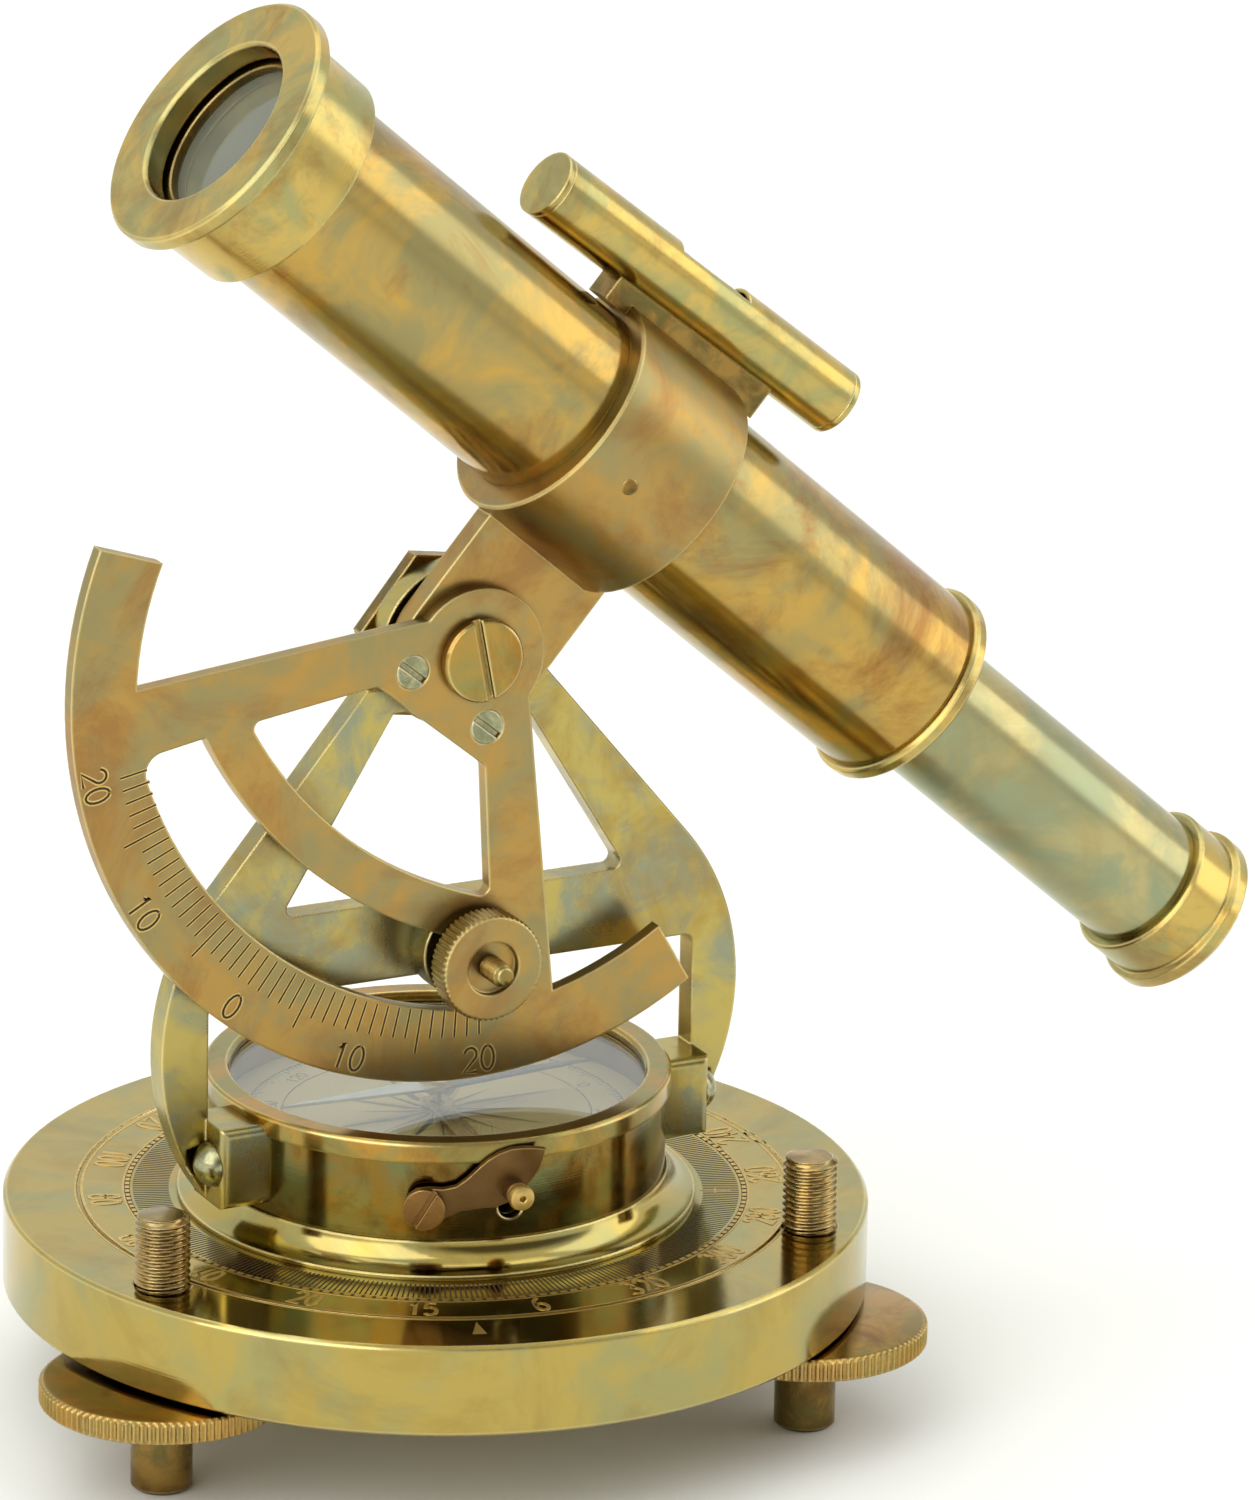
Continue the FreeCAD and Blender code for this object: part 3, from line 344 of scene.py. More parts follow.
    settings = {"Metallic": 1.0, "Specular IOR Level": 0.5}
    links = {"Base Color": worn_with_painted_light, "Roughness": dull, "Normal": relief}
    if blacked_within:
        out = add_node(tree, "CombineXYZ", {}, {"Y": parts["Y"], "Z": parts["Z"]}).outputs["Vector"]
        radius = add_node(tree, "VectorMath", {"operation": "LENGTH"}, {0: out}).outputs["Value"]
        metal = add_node(
            tree, "Math", {"operation": "GREATER_THAN", 1: blacked_within * MM}, {0: radius}
        ).outputs["Value"]
        links["Metallic"] = metal
        links["Base Color"] = add_node(
            tree, "MixRGB", {"Color1": colour("#2B2A25")}, {"Fac": metal, "Color2": worn_with_painted_light}
        ).outputs["Color"]
        soot = add_node(
            tree, "MapRange", {"To Min": 0.7, "To Max": 0.0}, {"Value": metal}
        ).outputs["Result"]
        links["Roughness"] = add_node(
            tree, "Math", {"operation": "MAXIMUM"}, {0: dull, 1: soot}
        ).outputs["Value"]
    finish_material(tree, settings, links)
    return material


def tarnish_in_cuts():
    """Dark oxide and old polish left in engraved lines: matt, nearly black brown."""
    material, tree = start_material("tarnish_in_cuts")
    here = add_node(tree, "TexCoord", {}, {}).outputs["Object"]
    grains = add_node(
        tree, "TexNoise", {"Scale": 1 / (0.8 * MM), "Detail": 3.0}, {"Vector": here}
    ).outputs["Fac"]
    tone = add_node(
        tree, "MixRGB", {"Color1": colour("#20160A"), "Color2": colour("#4A3518")}, {"Fac": grains}
    ).outputs["Color"]
    finish_material(tree, {"Metallic": 0.2, "Roughness": 0.7}, {"Base Color": tone})
    return material


def burr_brass():
    """Clean brass thrown up beside a punched mark: bright and a little rough."""
    material, tree = start_material("burr_brass")
    here = add_node(tree, "TexCoord", {}, {}).outputs["Object"]
    grains = add_node(
        tree, "TexNoise", {"Scale": 1 / (1.2 * MM), "Detail": 3.0}, {"Vector": here}
    ).outputs["Fac"]
    tone = add_node(
        tree, "MixRGB", {"Color1": colour("#E8CE84"), "Color2": colour("#B89650")}, {"Fac": grains}
    ).outputs["Color"]
    finish_material(tree, {"Metallic": 1.0, "Roughness": 0.42}, {"Base Color": tone})
    return material


def browned_brass(name, dark, light, rough):
    """Brass stained chocolate brown in a chemical bath, with lighter rubs on its edges."""
    material, tree = start_material(name)
    here = add_node(tree, "TexCoord", {}, {}).outputs["Object"]
    clouds = add_node(
        tree, "TexNoise", {"Scale": 1 / (5.0 * MM), "Detail": 5.0, "Roughness": 0.65}, {"Vector": here}
    ).outputs["Fac"]
    rounded = add_node(tree, "Bevel", {"samples": 4, "Radius": 0.3 * MM}, {}).outputs["Normal"]
    flat = add_node(tree, "NewGeometry", {}, {}).outputs["Normal"]
    facing = add_node(
        tree, "VectorMath", {"operation": "DOT_PRODUCT"}, {0: rounded, 1: flat}
    ).outputs["Value"]
    edge_mask = add_node(
        tree, "MapRange", {"From Min": 0.97, "From Max": 0.8}, {"Value": facing}
    ).outputs["Result"]
    ground = add_node(
        tree, "MixRGB", {"Color1": colour(dark), "Color2": colour(light)}, {"Fac": clouds}
    ).outputs["Color"]
    tone = add_node(
        tree, "MixRGB", {"Color2": colour("#C9A765")}, {"Fac": edge_mask, "Color1": ground}
    ).outputs["Color"]
    pores = add_node(
        tree, "TexNoise", {"Scale": 1 / (0.5 * MM), "Detail": 3.0}, {"Vector": here}
    ).outputs["Fac"]
    relief = add_node(
        tree, "Bump", {"Strength": 0.4, "Distance": 0.03 * MM}, {"Height": pores, "Normal": rounded}
    ).outputs["Normal"]
    links = {"Base Color": tone, "Normal": relief}
    finish_material(tree, {"Metallic": 0.85, "Roughness": rough}, links)
    return material


def clear_glass(name, tint, rough, clear=1.0):
    """Ground and polished glass. A share of less than 1 that is clear gives old, bloomed glass."""
    material, tree = start_material(name)
    here = add_node(tree, "TexCoord", {}, {}).outputs["Object"]
    smear = add_node(
        tree, "TexNoise", {"Scale": 1 / (18 * MM), "Detail": 3.0}, {"Vector": here}
    ).outputs["Fac"]
    haze = add_node(
        tree, "MapRange", {"To Min": rough, "To Max": rough + 0.05}, {"Value": smear}
    ).outputs["Result"]
    finish_material(
        tree,
        {"Base Color": colour(tint), "Transmission Weight": clear, "IOR": 1.52},
        {"Roughness": haze},
    )
    return material


def plain_paint(name, one, two, rough, patch_mm, metallic=0.0, coat=0.0):
    """Paint, ink or paper of two near tones, broken up over a few millimetres."""
    material, tree = start_material(name)
    here = add_node(tree, "TexCoord", {}, {}).outputs["Object"]
    clouds = add_node(
        tree, "TexNoise", {"Scale": 1 / (patch_mm * MM), "Detail": 4.0}, {"Vector": here}
    ).outputs["Fac"]
    tone = add_node(
        tree, "MixRGB", {"Color1": colour(one), "Color2": colour(two)}, {"Fac": clouds}
    ).outputs["Color"]
    grain = add_node(
        tree, "TexNoise", {"Scale": 1 / (0.35 * MM), "Detail": 2.0}, {"Vector": here}
    ).outputs["Fac"]
    relief = add_node(
        tree, "Bump", {"Strength": 0.12, "Distance": 0.02 * MM}, {"Height": grain}
    ).outputs["Normal"]
    finish_material(
        tree,
        {"Roughness": rough, "Metallic": metallic, "Coat Weight": coat, "Coat Roughness": 0.1},
        {"Base Color": tone, "Normal": relief},
    )
    return material


def blued_needle_steel():
    """Tempered steel, ground and polished: the north half heat blued, the south half bright."""
    material, tree = start_material("blued_needle_steel")
    here = add_node(tree, "TexCoord", {}, {}).outputs["Object"]
    parts = add_node(tree, "SeparateXYZ", {}, {"Vector": here}).outputs
    north = add_node(
        tree, "Math", {"operation": "GREATER_THAN", 1: 0.0}, {0: parts["X"]}
    ).outputs["Value"]
    tone = add_node(
        tree, "MixRGB", {"Color1": colour("#B9BBBD"), "Color2": colour("#1B2440")}, {"Fac": north}
    ).outputs["Color"]
    finish_material(tree, {"Metallic": 1.0, "Roughness": 0.22}, {"Base Color": tone})
    return material


# --------------------------------------------------------------- camera, light

def add_camera():
    """Long lens from the front left, a little above the compass."""
    target = Vector((0.02353, -0.01209, 0.09761))
    azimuth, elevation, roll, distance = -27.193, 18.303, 1.127, 1.4247
    side, lift = math.radians(azimuth), math.radians(elevation)
    back = Vector((math.sin(side) * math.cos(lift), -math.cos(side) * math.cos(lift), math.sin(lift)))
    data = bpy.data.cameras.new("camera")
    data.sensor_fit = "VERTICAL"
    data.sensor_height = 36.0
    data.lens = 240.04
    data.clip_end = 50.0
    camera = bpy.data.objects.new("camera", data)
    bpy.context.scene.collection.objects.link(camera)
    turn = Matrix.Rotation(side, 4, "Z") @ Matrix.Rotation(math.pi / 2 - lift, 4, "X")
    turn = turn @ Matrix.Rotation(math.radians(roll), 4, "Z")
    camera.matrix_world = Matrix.Translation(target + back * distance) @ turn
    bpy.context.scene.camera = camera


def add_softbox(name, place, target, wide, high, power, tint):
    """Large rectangular lamp aimed at a point."""
    data = bpy.data.lights.new(name, "AREA")
    data.shape = "RECTANGLE"
    data.size = wide
    data.size_y = high
    data.energy = power
    data.color = colour(tint)[:3]
    lamp = bpy.data.objects.new(name, data)
    bpy.context.scene.collection.objects.link(lamp)
    aim = (Vector(target) - Vector(place)).to_track_quat("-Z", "Y")
    lamp.matrix_world = Matrix.Translation(place) @ aim.to_matrix().to_4x4()


def add_studio():
    """Pale floor, a bright room with one unlit band in front, and three softboxes."""
    mesh = bmesh.new()
    corners = [(-FLOOR_HALF, -FLOOR_HALF), (FLOOR_HALF, -FLOOR_HALF), (FLOOR_HALF, FLOOR_HALF),
               (-FLOOR_HALF, FLOOR_HALF)]
    add_rings(mesh, [[(x, y, z) for x, y in corners] for z in (-20.0, -0.05)])
    data = bpy.data.meshes.new("studio_floor")
    mesh.to_mesh(data)
    mesh.free()
    floor = bpy.data.objects.new("studio_floor", data)
    bpy.context.scene.collection.objects.link(floor)
    data.materials.append(plain_paint("studio_paper", "#F6F6F3", "#EFEFEC", 0.9, 400.0))

    world = bpy.data.worlds.new("studio_room")
    bpy.context.scene.world = world
    world.use_nodes = True
    tree = world.node_tree
    tree.nodes.clear()
    direction = add_node(tree, "TexCoord", {}, {}).outputs["Generated"]
    parts = add_node(tree, "SeparateXYZ", {}, {"Vector": direction}).outputs
    high = add_node(
        tree, "MapRange", {"From Min": 0.1, "From Max": 0.9}, {"Value": parts["Z"]}
    ).outputs["Result"]
    walls = add_node(
        tree, "MixRGB", {"Color1": colour("#F4F4EE"), "Color2": colour("#E6E8E4")}, {"Fac": high}
    ).outputs["Color"]
    front = add_node(
        tree, "VectorMath", {"operation": "DOT_PRODUCT", 1: (0.2, -0.98, 0.0)}, {0: direction}
    ).outputs["Value"]
    across = add_node(
        tree, "MapRange",
        {"interpolation_type": "SMOOTHSTEP", "From Min": 0.6, "From Max": 0.85, "To Max": 0.9},
        {"Value": front},
    ).outputs["Result"]
    above = add_node(
        tree, "MapRange",
        {"interpolation_type": "SMOOTHSTEP", "From Min": 0.08, "From Max": 0.25},
        {"Value": parts["Z"]},
    ).outputs["Result"]
    unlit = add_node(tree, "Math", {"operation": "MULTIPLY"}, {0: across, 1: above}).outputs["Value"]
    tone = add_node(
        tree, "MixRGB", {"Color2": colour("#3A342B")}, {"Fac": unlit, "Color1": walls}
    ).outputs["Color"]
    room = add_node(tree, "Background", {"Strength": 1.1}, {"Color": tone})
    add_node(tree, "OutputWorld", {}, {"Surface": room.outputs["Background"]})

    centre = (0.02, 0.0, 0.1)
    add_softbox("softbox_left", (-1.3, -0.6, 1.1), centre, 1.6, 1.8, 17.0, "#FFFFFF")
    add_softbox("softbox_right", (1.4, -0.5, 0.8), centre, 1.0, 1.8, 6.5, "#FFFFFF")
    add_softbox("softbox_top", (0.1, 0.4, 1.8), centre, 1.8, 1.4, 7.0, "#FFFFFF")


# ------------------------------------------------------------ the instrument

def dress_cad(frame, finishes):
    """Give each kept CAD part its material."""
    for material, nodes in finishes:
        for node in nodes:
            piece = frame["nodes"][node]
            for slot in piece.material_slots:
                slot.material = material


def on_ring(angle, radius, height):
    """Laying-on rule for marks on the base: across goes round the ring, up goes inwards."""
    def put(across, up, lift):
        turn = math.radians(angle) + across / radius
        reach = radius - up
        return Vector((reach * math.cos(turn), reach * math.sin(turn), height + lift))
    return put


def round_line(radius, count):
    """Points of a full circle for a closed ribbon laid on with on_ring()."""
    return [(2 * math.pi * radius * k / count, 0.0) for k in range(count)]


def on_sector(angle, radius):
    """Laying-on rule for marks on the sector's face, at an angle from its middle line."""
    def put(across, up, lift):
        turn = math.radians(angle) + across / radius
        reach = radius - up
        x, z = reach * math.sin(turn), -reach * math.cos(turn)
        lean = math.radians(SECTOR_TURN)
        return Vector((
            x * math.cos(lean) + z * math.sin(lean),
            SECTOR_FACE_Y - lift,
            PIVOT_Z - x * math.sin(lean) + z * math.cos(lean),
        ))
    return put


def engrave_base(dark, bright):
    """Numbers every 20 degrees, a milled ring, fine radial lines and two small marks."""
    cuts, burrs = bmesh.new(), bmesh.new()
    for value in range(0, 360, 20):
        put = on_ring(NUMBER_RING_TURN - (value - FIRST_NUMBER), NUMBER_RING_R, BASE_TOP)
        for stroke in number_strokes(ODD_PUNCHES.get(value, str(value)), 4.4, 1.8):
            add_ribbon(burrs, stroke, 0.6, -MARK_SINK, 0.07, put)
    for k in range(180):
        put = on_ring(2.0 * k, MILLED_RING_R, BASE_TOP)
        add_ribbon(burrs, [(-0.5, 0.0), (0.5, 0.0)], 0.62, -MARK_SINK, 0.06, put)
    for radius, width in ((45.2, 0.25), (51.15, 0.4), (52.1, 0.3)):
        put = on_ring(0.0, radius, BASE_TOP)
        add_ribbon(burrs, round_line(radius, 180), width, -MARK_SINK, 0.04, put, True)
    put = on_ring(0.0, MILLED_RING_R, BASE_TOP)
    add_ribbon(cuts, round_line(MILLED_RING_R, 180), 0.8, -MARK_SINK, 0.015, put, True)
    for k in range(360):
        put = on_ring(float(k), LINE_RING_R, BASE_TOP)
        add_ribbon(cuts, [(0.0, -2.6), (0.0, 2.6)], 0.24, -MARK_SINK, 0.02, put)
    put = on_ring(-109.7, 55.3, BASE_TOP)
    corners = [(-0.95, -2.2), (0.95, -2.2), (0.0, 2.2)]
    add_rings(burrs, [[put(*corner, lift) for corner in corners] for lift in (-MARK_SINK, 0.05)])
    put = on_ring(-26.0, 40.4, BASE_TOP)
    add_ribbon(burrs, [(-1.1, 0.0), (1.1, 0.0)], 0.2, -MARK_SINK, 0.04, put)
    add_ribbon(burrs, [(0.0, -2.2), (0.0, 2.2)], 0.2, -MARK_SINK, 0.045, put)
    add_piece("base_scale_cuts", cuts, "base", dark)
    add_piece("base_scale_burrs", burrs, "base", bright)


def engrave_sector(dark, bright):
    """Forty divisions with longer lines at 5 and 15, numbered 20 to 0 to 20."""
    cuts, burrs = bmesh.new(), bmesh.new()
    for angle in range(-40, 41, 2):
        long = angle % 20 == 10
        inner = 52.3 - 0.9 * (1 - abs(angle) / 40)
        outer = 58.6 if long else 56.4
        put = on_sector(float(angle), SECTOR_LINE_R)
        line = [(0.0, SECTOR_LINE_R - outer), (0.0, SECTOR_LINE_R - inner)]
        add_ribbon(burrs, line, 0.56, -MARK_SINK, 0.02, put)
        add_ribbon(cuts, line, 0.28, -MARK_SINK, 0.035, put)
    for angle, text in ((-40, "20"), (-20, "10"), (0, "0"), (20, "10"), (40, "20")):
        for stroke in number_strokes(text, 3.7, 2.2):
            put = on_sector(float(angle), SECTOR_NUMBER_R)
            add_ribbon(burrs, stroke, 0.8, -MARK_SINK, 0.02, put)
            add_ribbon(cuts, stroke, 0.36, -MARK_SINK, 0.035, put)
    add_piece("sector_scale_cuts", cuts, "telescope", dark)
    add_piece("sector_scale_burrs", burrs, "telescope", bright)


def threaded_bar(radius, bottom, top, pitch, depth, steps, place):
    """Closed bar with a true right-hand helical thread and a small lead-in at the top."""
    rows = int((top - bottom) / (pitch / ROWS_PER_PITCH))
    profile = [(radius, bottom + (top - bottom) * k / rows) for k in range(rows + 1)]

    def cut(here, height, angle):
        phase = (height / pitch - angle / (2 * math.pi)) % 1.0
        tooth = abs(2 * phase - 1)
        lead = max(0.0, height - (top - LEAD_IN))
        return here - depth * min(1.0, 1.35 * tooth) - lead
    mesh = bmesh.new()
    add_rings(mesh, turned_rings(profile, steps, cut), place)
    return mesh


def knurled_disc(mesh, profile, teeth, depth, rim, place):
    """Turned disc whose rows at the rim radius carry straight knurling."""
    def mill(radius, height, angle):
        if radius < rim - 0.01:
            return radius
        wave = 0.5 + 0.5 * math.cos(teeth * angle)
        return radius - depth * (1 - wave)
    add_rings(mesh, turned_rings(profile, teeth * 6, mill), place)


def make_levelling_screws(rod_brass, wheel_brass):
    """Threaded rods and knurled wheels."""
    for name, angle in SCREW_ANGLES.items():
        x = SCREW_CIRCLE_R * math.cos(math.radians(angle))
        y = SCREW_CIRCLE_R * math.sin(math.radians(angle))
        place = Matrix.Translation((x * MM, y * MM, 0))
        rod = threaded_bar(4.0, 16.0, 41.1, 1.0, 0.5, 64, place)
        neck = [(2.9, 7.05), (3.0, 7.2), (3.0, 12.95), (3.6, 12.95), (3.6, 16.2)]
        add_rings(rod, turned_rings(neck, 48), place)
        add_piece("threaded_rod_" + name, rod, "screw_" + name, rod_brass,
                  ["levelling_rod_" + name])
        wheel = bmesh.new()
        profile = [(4.0, 12.9), (16.6, 12.9), (16.95, 13.0), (WHEEL_R, 13.25), (WHEEL_R, 14.2),
                   (WHEEL_R, 15.2), (WHEEL_R, 16.0), (16.95, 16.3), (16.6, 16.4), (4.0, 16.4)]
        knurled_disc(wheel, profile, 96, 0.45, WHEEL_R, place)
        add_piece("knurled_wheel_" + name, wheel, "screw_" + name, wheel_brass,
                  ["levelling_wheel_" + name])


def make_clamp(nut_brass, stud_brass):
    """Knurled nut and threaded stud, made about Z and laid along -Y."""
    lay = Matrix.Translation((0, 0, STUD_Z * MM)) @ Matrix.Rotation(math.radians(90), 4, "X")
    nut = bmesh.new()
    profile = [(1.9, 12.05), (6.7, 12.05), (6.8, 12.15), (6.8, 13.3), (7.5, 13.3), (NUT_R, 13.6),
               (NUT_R, 14.4), (NUT_R, 15.4), (NUT_R, 16.6), (NUT_R, 17.3), (7.55, 17.65), (7.2, 17.7),
               (4.05, 17.7), (3.95, 17.6), (3.9, 16.5), (1.9, 16.45)]
    knurled_disc(nut, profile, 56, 0.34, NUT_R, lay)
    add_piece("knurled_nut", nut, "clamp", nut_brass, ["clamp_nut"])
    stud = threaded_bar(1.78, 0.9, 21.5, 0.7, 0.26, 40, lay)
    add_piece("threaded_stud", stud, "upper", stud_brass, ["clamp_stud"])


def wrap_on_box(along, up, reach):
    """Point on a cylinder round the box, by arc length from the lever's screw and height."""
    turn = math.radians(LEVER_SCREW_ANGLE) + along / LEVER_INSIDE_R
    return Vector((reach * math.cos(turn), reach * math.sin(turn), LEVER_SCREW_Z + up))


def make_lever(plate_brass, tip_brass):
    """Bent plate with a curled finger tab, and its stepped peg with a drilled tip."""
    lower = [(-2.6, -1.0), (-1.8, -2.2), (-0.4, -2.9), (1.4, -2.7), (3.2, -1.6), (5.2, -0.7),
             (7.6, -0.4), (9.8, -0.4), (11.8, 0.2), (13.6, 1.4), (15.0, 3.0), (15.9, 4.8),
             (16.3, 6.4), (16.5, 7.6)]
    upper = [(-2.8, 0.4), (-2.3, 1.7), (-1.2, 2.6), (0.6, 2.9), (2.6, 2.8), (4.4, 3.2), (6.0, 4.4),
             (7.4, 5.8), (8.8, 7.0), (10.4, 7.9), (12.2, 8.4), (13.8, 8.6), (15.4, 8.5), (16.8, 8.2)]
    face = LEVER_INSIDE_R + LEVER_THICKNESS
    rings = []
    for (low_x, low_z), (high_x, high_z) in zip(lower, upper):
        curl = max(0.0, low_x - LEVER_CURL_START) * LEVER_CURL
        rings.append([
            wrap_on_box(low_x, low_z, LEVER_INSIDE_R + curl),
            wrap_on_box(low_x, low_z + LEVER_EDGE, face + curl),
            wrap_on_box(high_x, high_z - LEVER_EDGE, face + curl),
            wrap_on_box(high_x, high_z, LEVER_INSIDE_R + curl),
        ])
    mesh = bmesh.new()
    add_rings(mesh, rings)
    add_piece("lever_plate", mesh, "lever", plate_brass, ["lock_lever"])

    turn = math.radians(LEVER_PEG_ANGLE)
    out = Vector((math.cos(turn), math.sin(turn), 0)).to_track_quat("Z", "Y").to_matrix().to_4x4()
    place = Matrix.Translation((0, 0, LEVER_PEG_Z * MM)) @ out
    boss = bmesh.new()
    profile = [(1.5, 29.1), (1.5, face), (PEG_R, face), (PEG_R, face + 2.0), (1.6, face + 2.2)]
    add_rings(boss, turned_rings(profile, 40), place)
    add_piece("lever_boss", boss, "lever", plate_brass, ["lever_pin"])
    tip = bmesh.new()
    profile = [(1.2, face + 2.0), (PEG_R, face + 2.5), (1.9, face + 3.4), (1.7, face + 4.0),
               (1.3, face + 4.2), (0.55, face + 4.2), (0.45, face + 4.1), (0.4, face + 3.0)]
    add_rings(tip, turned_rings(profile, 40), place)
    add_piece("lever_tip", tip, "lever", tip_brass)


def make_dial(card, ink, gilt):
    """Dial card with a printed rose of sixteen points, a ring of degree lines and numbers."""
    mesh = bmesh.new()
    profile = [(31.2, 41.0), (31.25, 41.05), (31.25, 41.45), (31.2, DIAL_TOP)]
    add_rings(mesh, turned_rings(profile, 120))
    add_piece("dial_card", mesh, "upper", card, ["compass_dial"])
    print_dark, print_gilt = bmesh.new(), bmesh.new()

    def half_point(target, turn, long, wide):
        corners = [(1.6, turn), (long, turn), (long * 0.3, turn + math.radians(wide))]
        flat = [(reach * math.cos(angle), reach * math.sin(angle)) for reach, angle in corners]
        heights = (DIAL_TOP - 0.05, DIAL_TOP + 0.03)
        add_rings(target, [[(x, y, z) for x, y in flat] for z in heights])

    for k in range(16):
        turn = math.radians(22.5 * k + DIAL_TURN)
        long = (20.5, 12.0, 16.5, 12.0)[k % 4]
        half_point(print_dark, turn, long, 11.2)
        half_point(print_gilt, turn, long, -11.2)
    for k in range(180):
        put = on_ring(2.0 * k, 26.5, DIAL_TOP)
        reach = 1.4 if k % 5 == 0 else 0.8
        add_ribbon(print_dark, [(0.0, -0.8), (0.0, reach - 0.8)], 0.16, -0.05, 0.03, put)
    for radius in (27.4, 22.3):
        put = on_ring(0.0, radius, DIAL_TOP)
        add_ribbon(print_dark, round_line(radius, 120), 0.2, -0.05, 0.03, put, True)
    for value in range(0, 360, 30):
        for stroke in number_strokes(str(value), 1.9, 1.1):
            flipped = [(-x, -y) for x, y in stroke]
            put = on_ring(value + DIAL_TURN, 24.1, DIAL_TOP)
            add_ribbon(print_dark, flipped, 0.2, -0.05, 0.035, put)
    add_piece("dial_print_dark", print_dark, "upper", ink)
    add_piece("dial_print_gilt", print_gilt, "upper", gilt)


def make_level(glass, spirit, air):
    """Glass vial with its spirit and the bubble under the window."""
    lean = Matrix.Rotation(math.radians(TUBE_TILT), 4, "Y")
    rise = Matrix.Translation((0, TUBE_Y * MM, (TUBE_HEIGHT + LEVEL_HEIGHT) * MM))
    along = Matrix.Rotation(math.radians(90 - LEVEL_LEAN), 4, "Y")
    place = Matrix.Translation((0, 0, PIVOT_Z * MM)) @ lean @ rise @ along
    vial = bmesh.new()
    profile = [(3.0, -22.0), (3.9, -21.4), (4.12, -20.4), (4.12, 7.4), (3.9, 8.4), (3.0, 9.0)]
    add_rings(vial, turned_rings(profile, 48), place)
    add_piece("vial_glass", vial, "telescope", glass, ["level_vial"])
    inside = bmesh.new()
    profile = [(2.4, -20.6), (3.3, -20.0), (3.3, 7.0), (2.4, 7.6)]
    add_rings(inside, turned_rings(profile, 40), place)
    add_piece("vial_spirit", inside, "telescope", spirit)
    bubble = bmesh.new()
    profile = [(0.15, -10.2), (0.9, -9.9), (1.3, -9.0), (1.4, -5.6), (1.3, -2.4), (0.9, -1.5),
               (0.15, -1.2)]
    add_rings(bubble, turned_rings(profile, 32), place @ Matrix.Translation((BUBBLE_RISE * MM, 0, 0)))
    add_piece("vial_bubble", bubble, "telescope", air)


def make_collar_plug(plug_brass):
    """Small plugged hole in the collar's side, filed flush."""
    turn = math.radians(PLUG_ANGLE)
    out = Vector((0, -math.sin(turn), math.cos(turn)))
    seat = Vector((PLUG_ALONG, 0, -COLLAR_DROP)) + out * (COLLAR_R - 0.3)
    tube = Matrix.Rotation(math.radians(TUBE_TILT), 4, "Y")
    place = Matrix.Translation((0, TUBE_Y * MM, PIVOT_Z * MM)) @ tube
    place = place @ Matrix.Translation((seat + Vector((0, 0, TUBE_HEIGHT))) * MM)
    place = place @ out.to_track_quat("Z", "Y").to_matrix().to_4x4()
    mesh = bmesh.new()
    add_rings(mesh, turned_rings([(1.25, 0.0), (1.25, 0.3), (1.1, 0.36)], 32), place)
    add_piece("collar_plug", mesh, "telescope", plug_brass)


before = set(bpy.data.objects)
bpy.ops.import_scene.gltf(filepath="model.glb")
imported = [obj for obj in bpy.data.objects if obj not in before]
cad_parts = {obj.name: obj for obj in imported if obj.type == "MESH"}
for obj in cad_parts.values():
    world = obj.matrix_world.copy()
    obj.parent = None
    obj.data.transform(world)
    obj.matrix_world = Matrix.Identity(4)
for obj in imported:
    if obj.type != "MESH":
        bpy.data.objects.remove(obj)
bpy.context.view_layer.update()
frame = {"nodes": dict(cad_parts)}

bpy.context.scene.view_settings.view_transform = "Standard"
add_camera()
add_studio()

# Pale gold of the edges: rubbed clean metal and a painted highlight where edges catch the light.
EDGE_WEAR_AND_HIGHLIGHT = "#EBD796"
# Cast and turned brass under thin lacquer: even olive gold, with fine rings and clear reflections.
turned_brass = aged_brass("turned_brass", "#B5A057", "#A39C66", "#8C6C32", EDGE_WEAR_AND_HIGHLIGHT, (0.08, 0.17),
                          turned_mm=0.25, patch_mm=18.0, umber_share=0.4)
# Buffed brass: warmer gold with brown stains and near-mirror reflections.
polished_brass = aged_brass("polished_brass", "#B18840", "#8F8850", "#7C5424", EDGE_WEAR_AND_HIGHLIGHT, (0.1, 0.22),
                            turned_mm=0.2, patch_mm=12.0, umber_share=0.6)
# Spun brass box, seldom cleaned: brown and grey green, with clear dark reflections.
box_brass = aged_brass("box_brass", "#84692F", "#727248", "#573A12", EDGE_WEAR_AND_HIGHLIGHT, (0.1, 0.2),
                       turned_mm=0.2, patch_mm=10.0, umber_share=0.8)
# Drawn brass tube, handled for years: broad gold and brown clouds and long soft reflections.
tube_brass = aged_brass("tube_brass", "#BC9A50", "#9A8E5E", "#8C5F34", EDGE_WEAR_AND_HIGHLIGHT, (0.11, 0.24), TUBE_AXIS,
                        turned_mm=0.22, patch_mm=17.0, umber_share=0.8, blacked_within=14.2)
# Turned brass caps: golden, with olive clouds and fine rings.
cap_brass = aged_brass("cap_brass", "#C6AA5E", "#A39E68", "#8E6632", EDGE_WEAR_AND_HIGHLIGHT, (0.14, 0.26), TUBE_AXIS,
                       turned_mm=0.2, patch_mm=12.0, umber_share=0.55)
# Drawn brass tube kept inside the other one: pale grey green and smoother.
draw_brass = aged_brass("draw_brass", "#B2A776", "#949A78", "#98804A", EDGE_WEAR_AND_HIGHLIGHT, (0.14, 0.24), TUBE_AXIS,
                        turned_mm=0.2, patch_mm=16.0, umber_share=0.4, blacked_within=10.0)
# Sheet brass rubbed flat with emery: satin brown gold with olive patches and bright sawn edges, rubbed
# and painted as highlights.
satin_brass = aged_brass("satin_brass", "#AF8D4E", "#998C5E", "#966E40", EDGE_WEAR_AND_HIGHLIGHT, (0.28, 0.4), TUBE_AXIS,
                         brushed_mm=0.45, patch_mm=13.0, umber_share=0.75, pits=0.3)
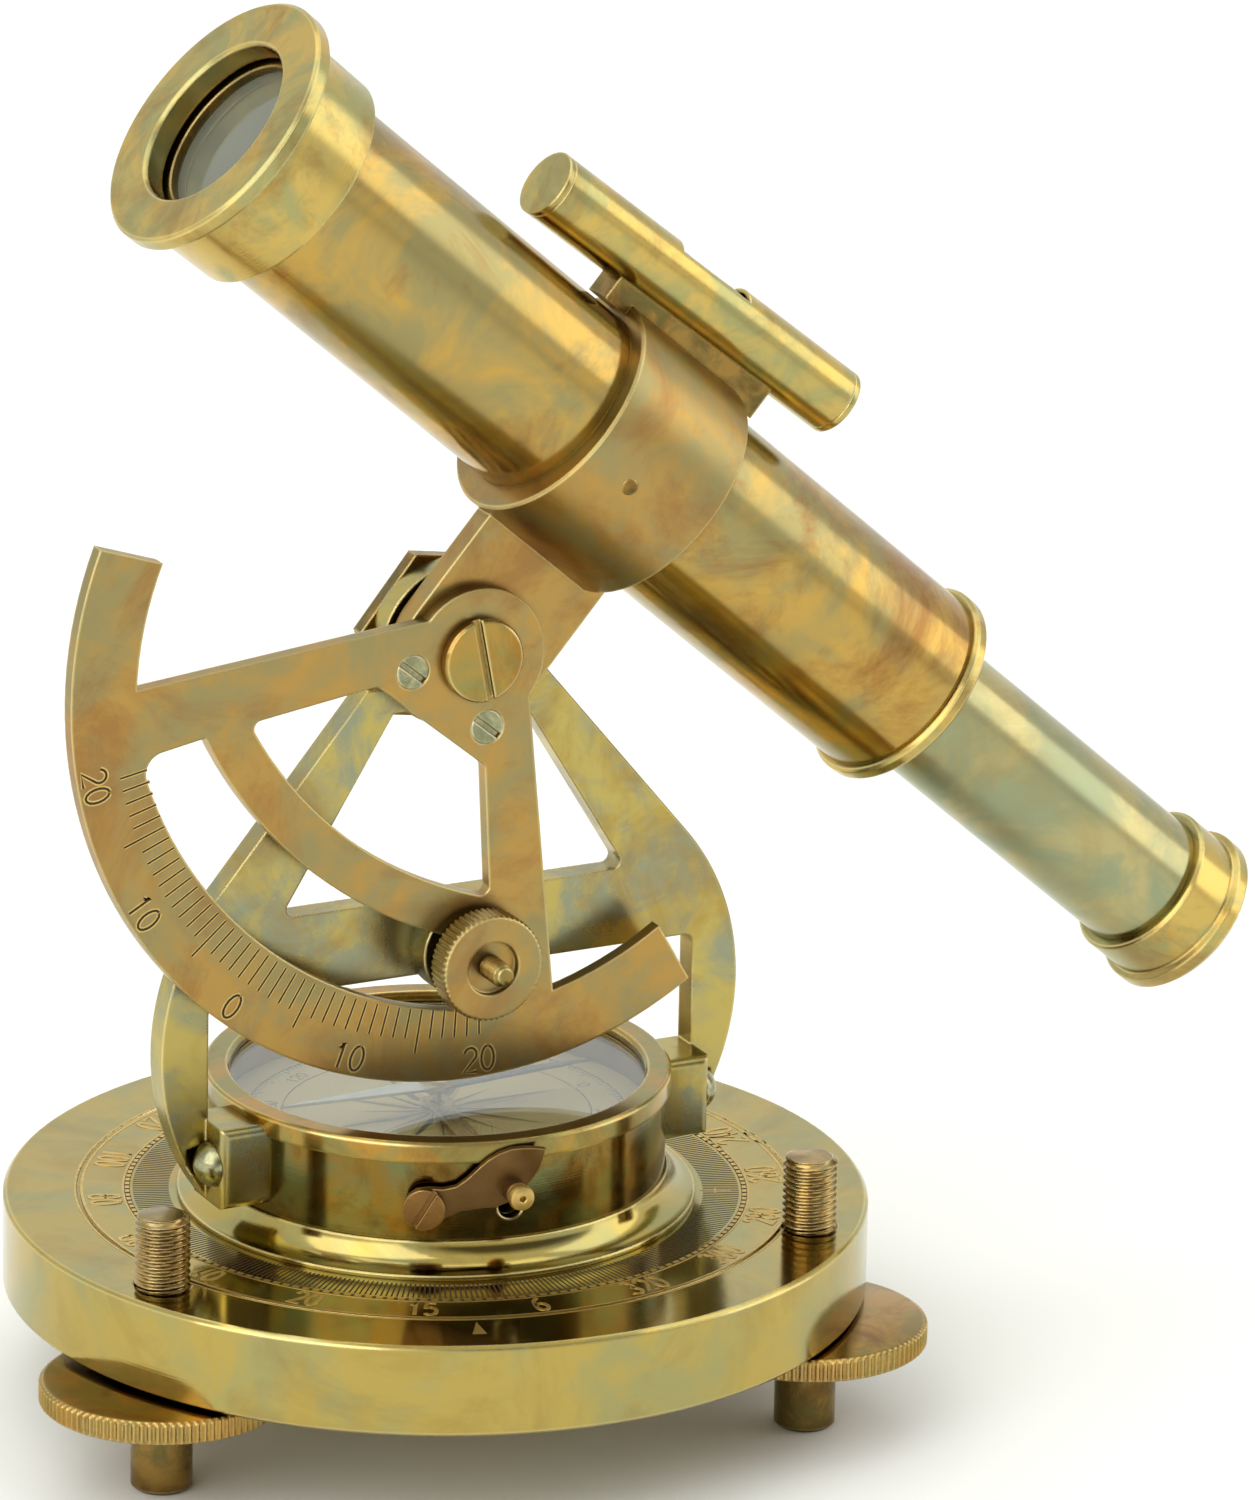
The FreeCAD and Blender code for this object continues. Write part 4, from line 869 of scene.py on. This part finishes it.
# Cast brass filed and brushed: green gold with orange stains and small pits.
cast_brass = aged_brass("cast_brass", "#B6A55E", "#94967A", "#9A7A38", EDGE_WEAR_AND_HIGHLIGHT, (0.2, 0.34),
                        brushed_mm=0.6, patch_mm=11.0, umber_share=0.6, pits=0.4)
# Turned brass never cleaned: brown gold, with painted shade in its grooves. On the level saddle its
# darker tone is painted shade for the shadow under the level.
dull_and_shade_brass = aged_brass("dull_and_shade_brass", "#96773E", "#70643A", "#5A3D1E", "#D8BC7C", (0.22, 0.36),
                        turned_mm=0.2, patch_mm=6.0, umber_share=0.6)
# Knurled wheel brass, darkened by fingers: deep orange brown.
wheel_brass = aged_brass("wheel_brass", "#A8803A", "#8C7A40", "#754A1C", "#E0C27E", (0.14, 0.26),
                         patch_mm=8.0, umber_share=0.7)
# Die-cut threads: crests rubbed clean and painted bright as highlights, painted shade in the grooves.
thread_brass = aged_brass("thread_brass", "#B0925A", "#94845A", "#6A4E28", "#EAD49A", (0.18, 0.3),
                          patch_mm=5.0, umber_share=0.5, pits=-0.3, edge_mm=0.12)
# Small screws of a paler alloy: grey-green metal with clean slots.
screw_brass = aged_brass("screw_brass", "#A8A57E", "#86886A", "#5E5632", "#EDE8C8", (0.16, 0.28),
                         patch_mm=3.0, umber_share=0.5)
# Sheet brass browned in a chemical bath: chocolate faces, golden where the edges are rubbed.
browned_plate = browned_brass("browned_brass_sheet", "#57401F", "#806038", 0.34)
# Turned and browned screw: the same brown, smoother, with a clean rim.
browned_screw = browned_brass("browned_brass_screw", "#6E4C26", "#96703E", 0.26)
cut_tarnish = tarnish_in_cuts()
burrs = burr_brass()
# Float glass over the compass: clear, with the room mirrored in it.
plate_glass = clear_glass("float_glass", "#F4F8F4", 0.0)
# Ground crown glass of the lenses, bloomed with age: flat grey, still shiny.
lens_glass = clear_glass("ground_crown_glass", "#9DA08E", 0.0, 0.6)
# Drawn glass tube of the level: clear, with a bright line along it.
vial_glass = clear_glass("drawn_glass_tube", "#EEF4EE", 0.0)
# Dyed spirit seen through the glass: dark grey green.
spirit_dye = plain_paint("dyed_spirit", "#6E7468", "#565C50", 0.15, 6.0, coat=0.5)
# Bubble of air in the spirit: a pale bright spot.
air_bubble = plain_paint("air_bubble", "#F3F5EE", "#E4E8DC", 0.1, 3.0, coat=1.0)
# Rag paper glued to the dial plate: warm cream and matt.
dial_card = plain_paint("rag_paper", "#EAD7A2", "#DDC588", 0.5, 9.0)
# Letterpress ink on the paper: soft green black.
dial_ink = plain_paint("letterpress_ink", "#3B4A44", "#55625A", 0.55, 3.0)
# Bronze powder print on the paper: dull gold.
dial_gilt = plain_paint("bronze_powder_print", "#D9B978", "#C8A460", 0.4, 3.0)
needle_steel = blued_needle_steel()

dress_cad(frame, [
    (turned_brass, ["base_plate", "compass_skirt"]),
    (box_brass, ["compass_box"]),
    (polished_brass, ["compass_bezel", "glass_seat_ring", "dial_seat_ring", "needle_cap",
                      "pivot_screw"]),
    (screw_brass, ["lug_screws", "sector_screws"]),
    (tube_brass, ["main_tube"]),
    (cap_brass, ["objective_cap", "end_ring", "eyepiece_cap", "level_case", "level_end_caps"]),
    (draw_brass, ["draw_tube"]),
    (satin_brass, ["sector", "collar_bracket"]),
    (cast_brass, ["upright", "clamp_spacer"]),
    (dull_and_shade_brass, ["azimuth_bolt", "azimuth_washer", "draw_piston_ring", "eye_lens_ring",
                  "level_packing", "levelling_foot_left", "levelling_foot_right",
                  "levelling_foot_back", "needle_lifter", "objective_ring", "objective_seat",
                  # level_saddle takes this darker brass as painted shade, for the shadow it sits in
                  # under the level.
                  "pivot_nut", "pivot_washer", "level_saddle"]),
    (browned_screw, ["lever_screw"]),
    (plate_glass, ["compass_glass"]),
    (lens_glass, ["objective_lens", "eye_lens"]),
    (needle_steel, ["compass_needle", "needle_pin"]),
])
engrave_base(cut_tarnish, burrs)
engrave_sector(cut_tarnish, burrs)
make_levelling_screws(thread_brass, wheel_brass)
make_clamp(satin_brass, polished_brass)
make_lever(browned_plate, burrs)
make_dial(dial_card, dial_ink, dial_gilt)
make_level(vial_glass, spirit_dye, air_bubble)
make_collar_plug(dull_and_shade_brass)
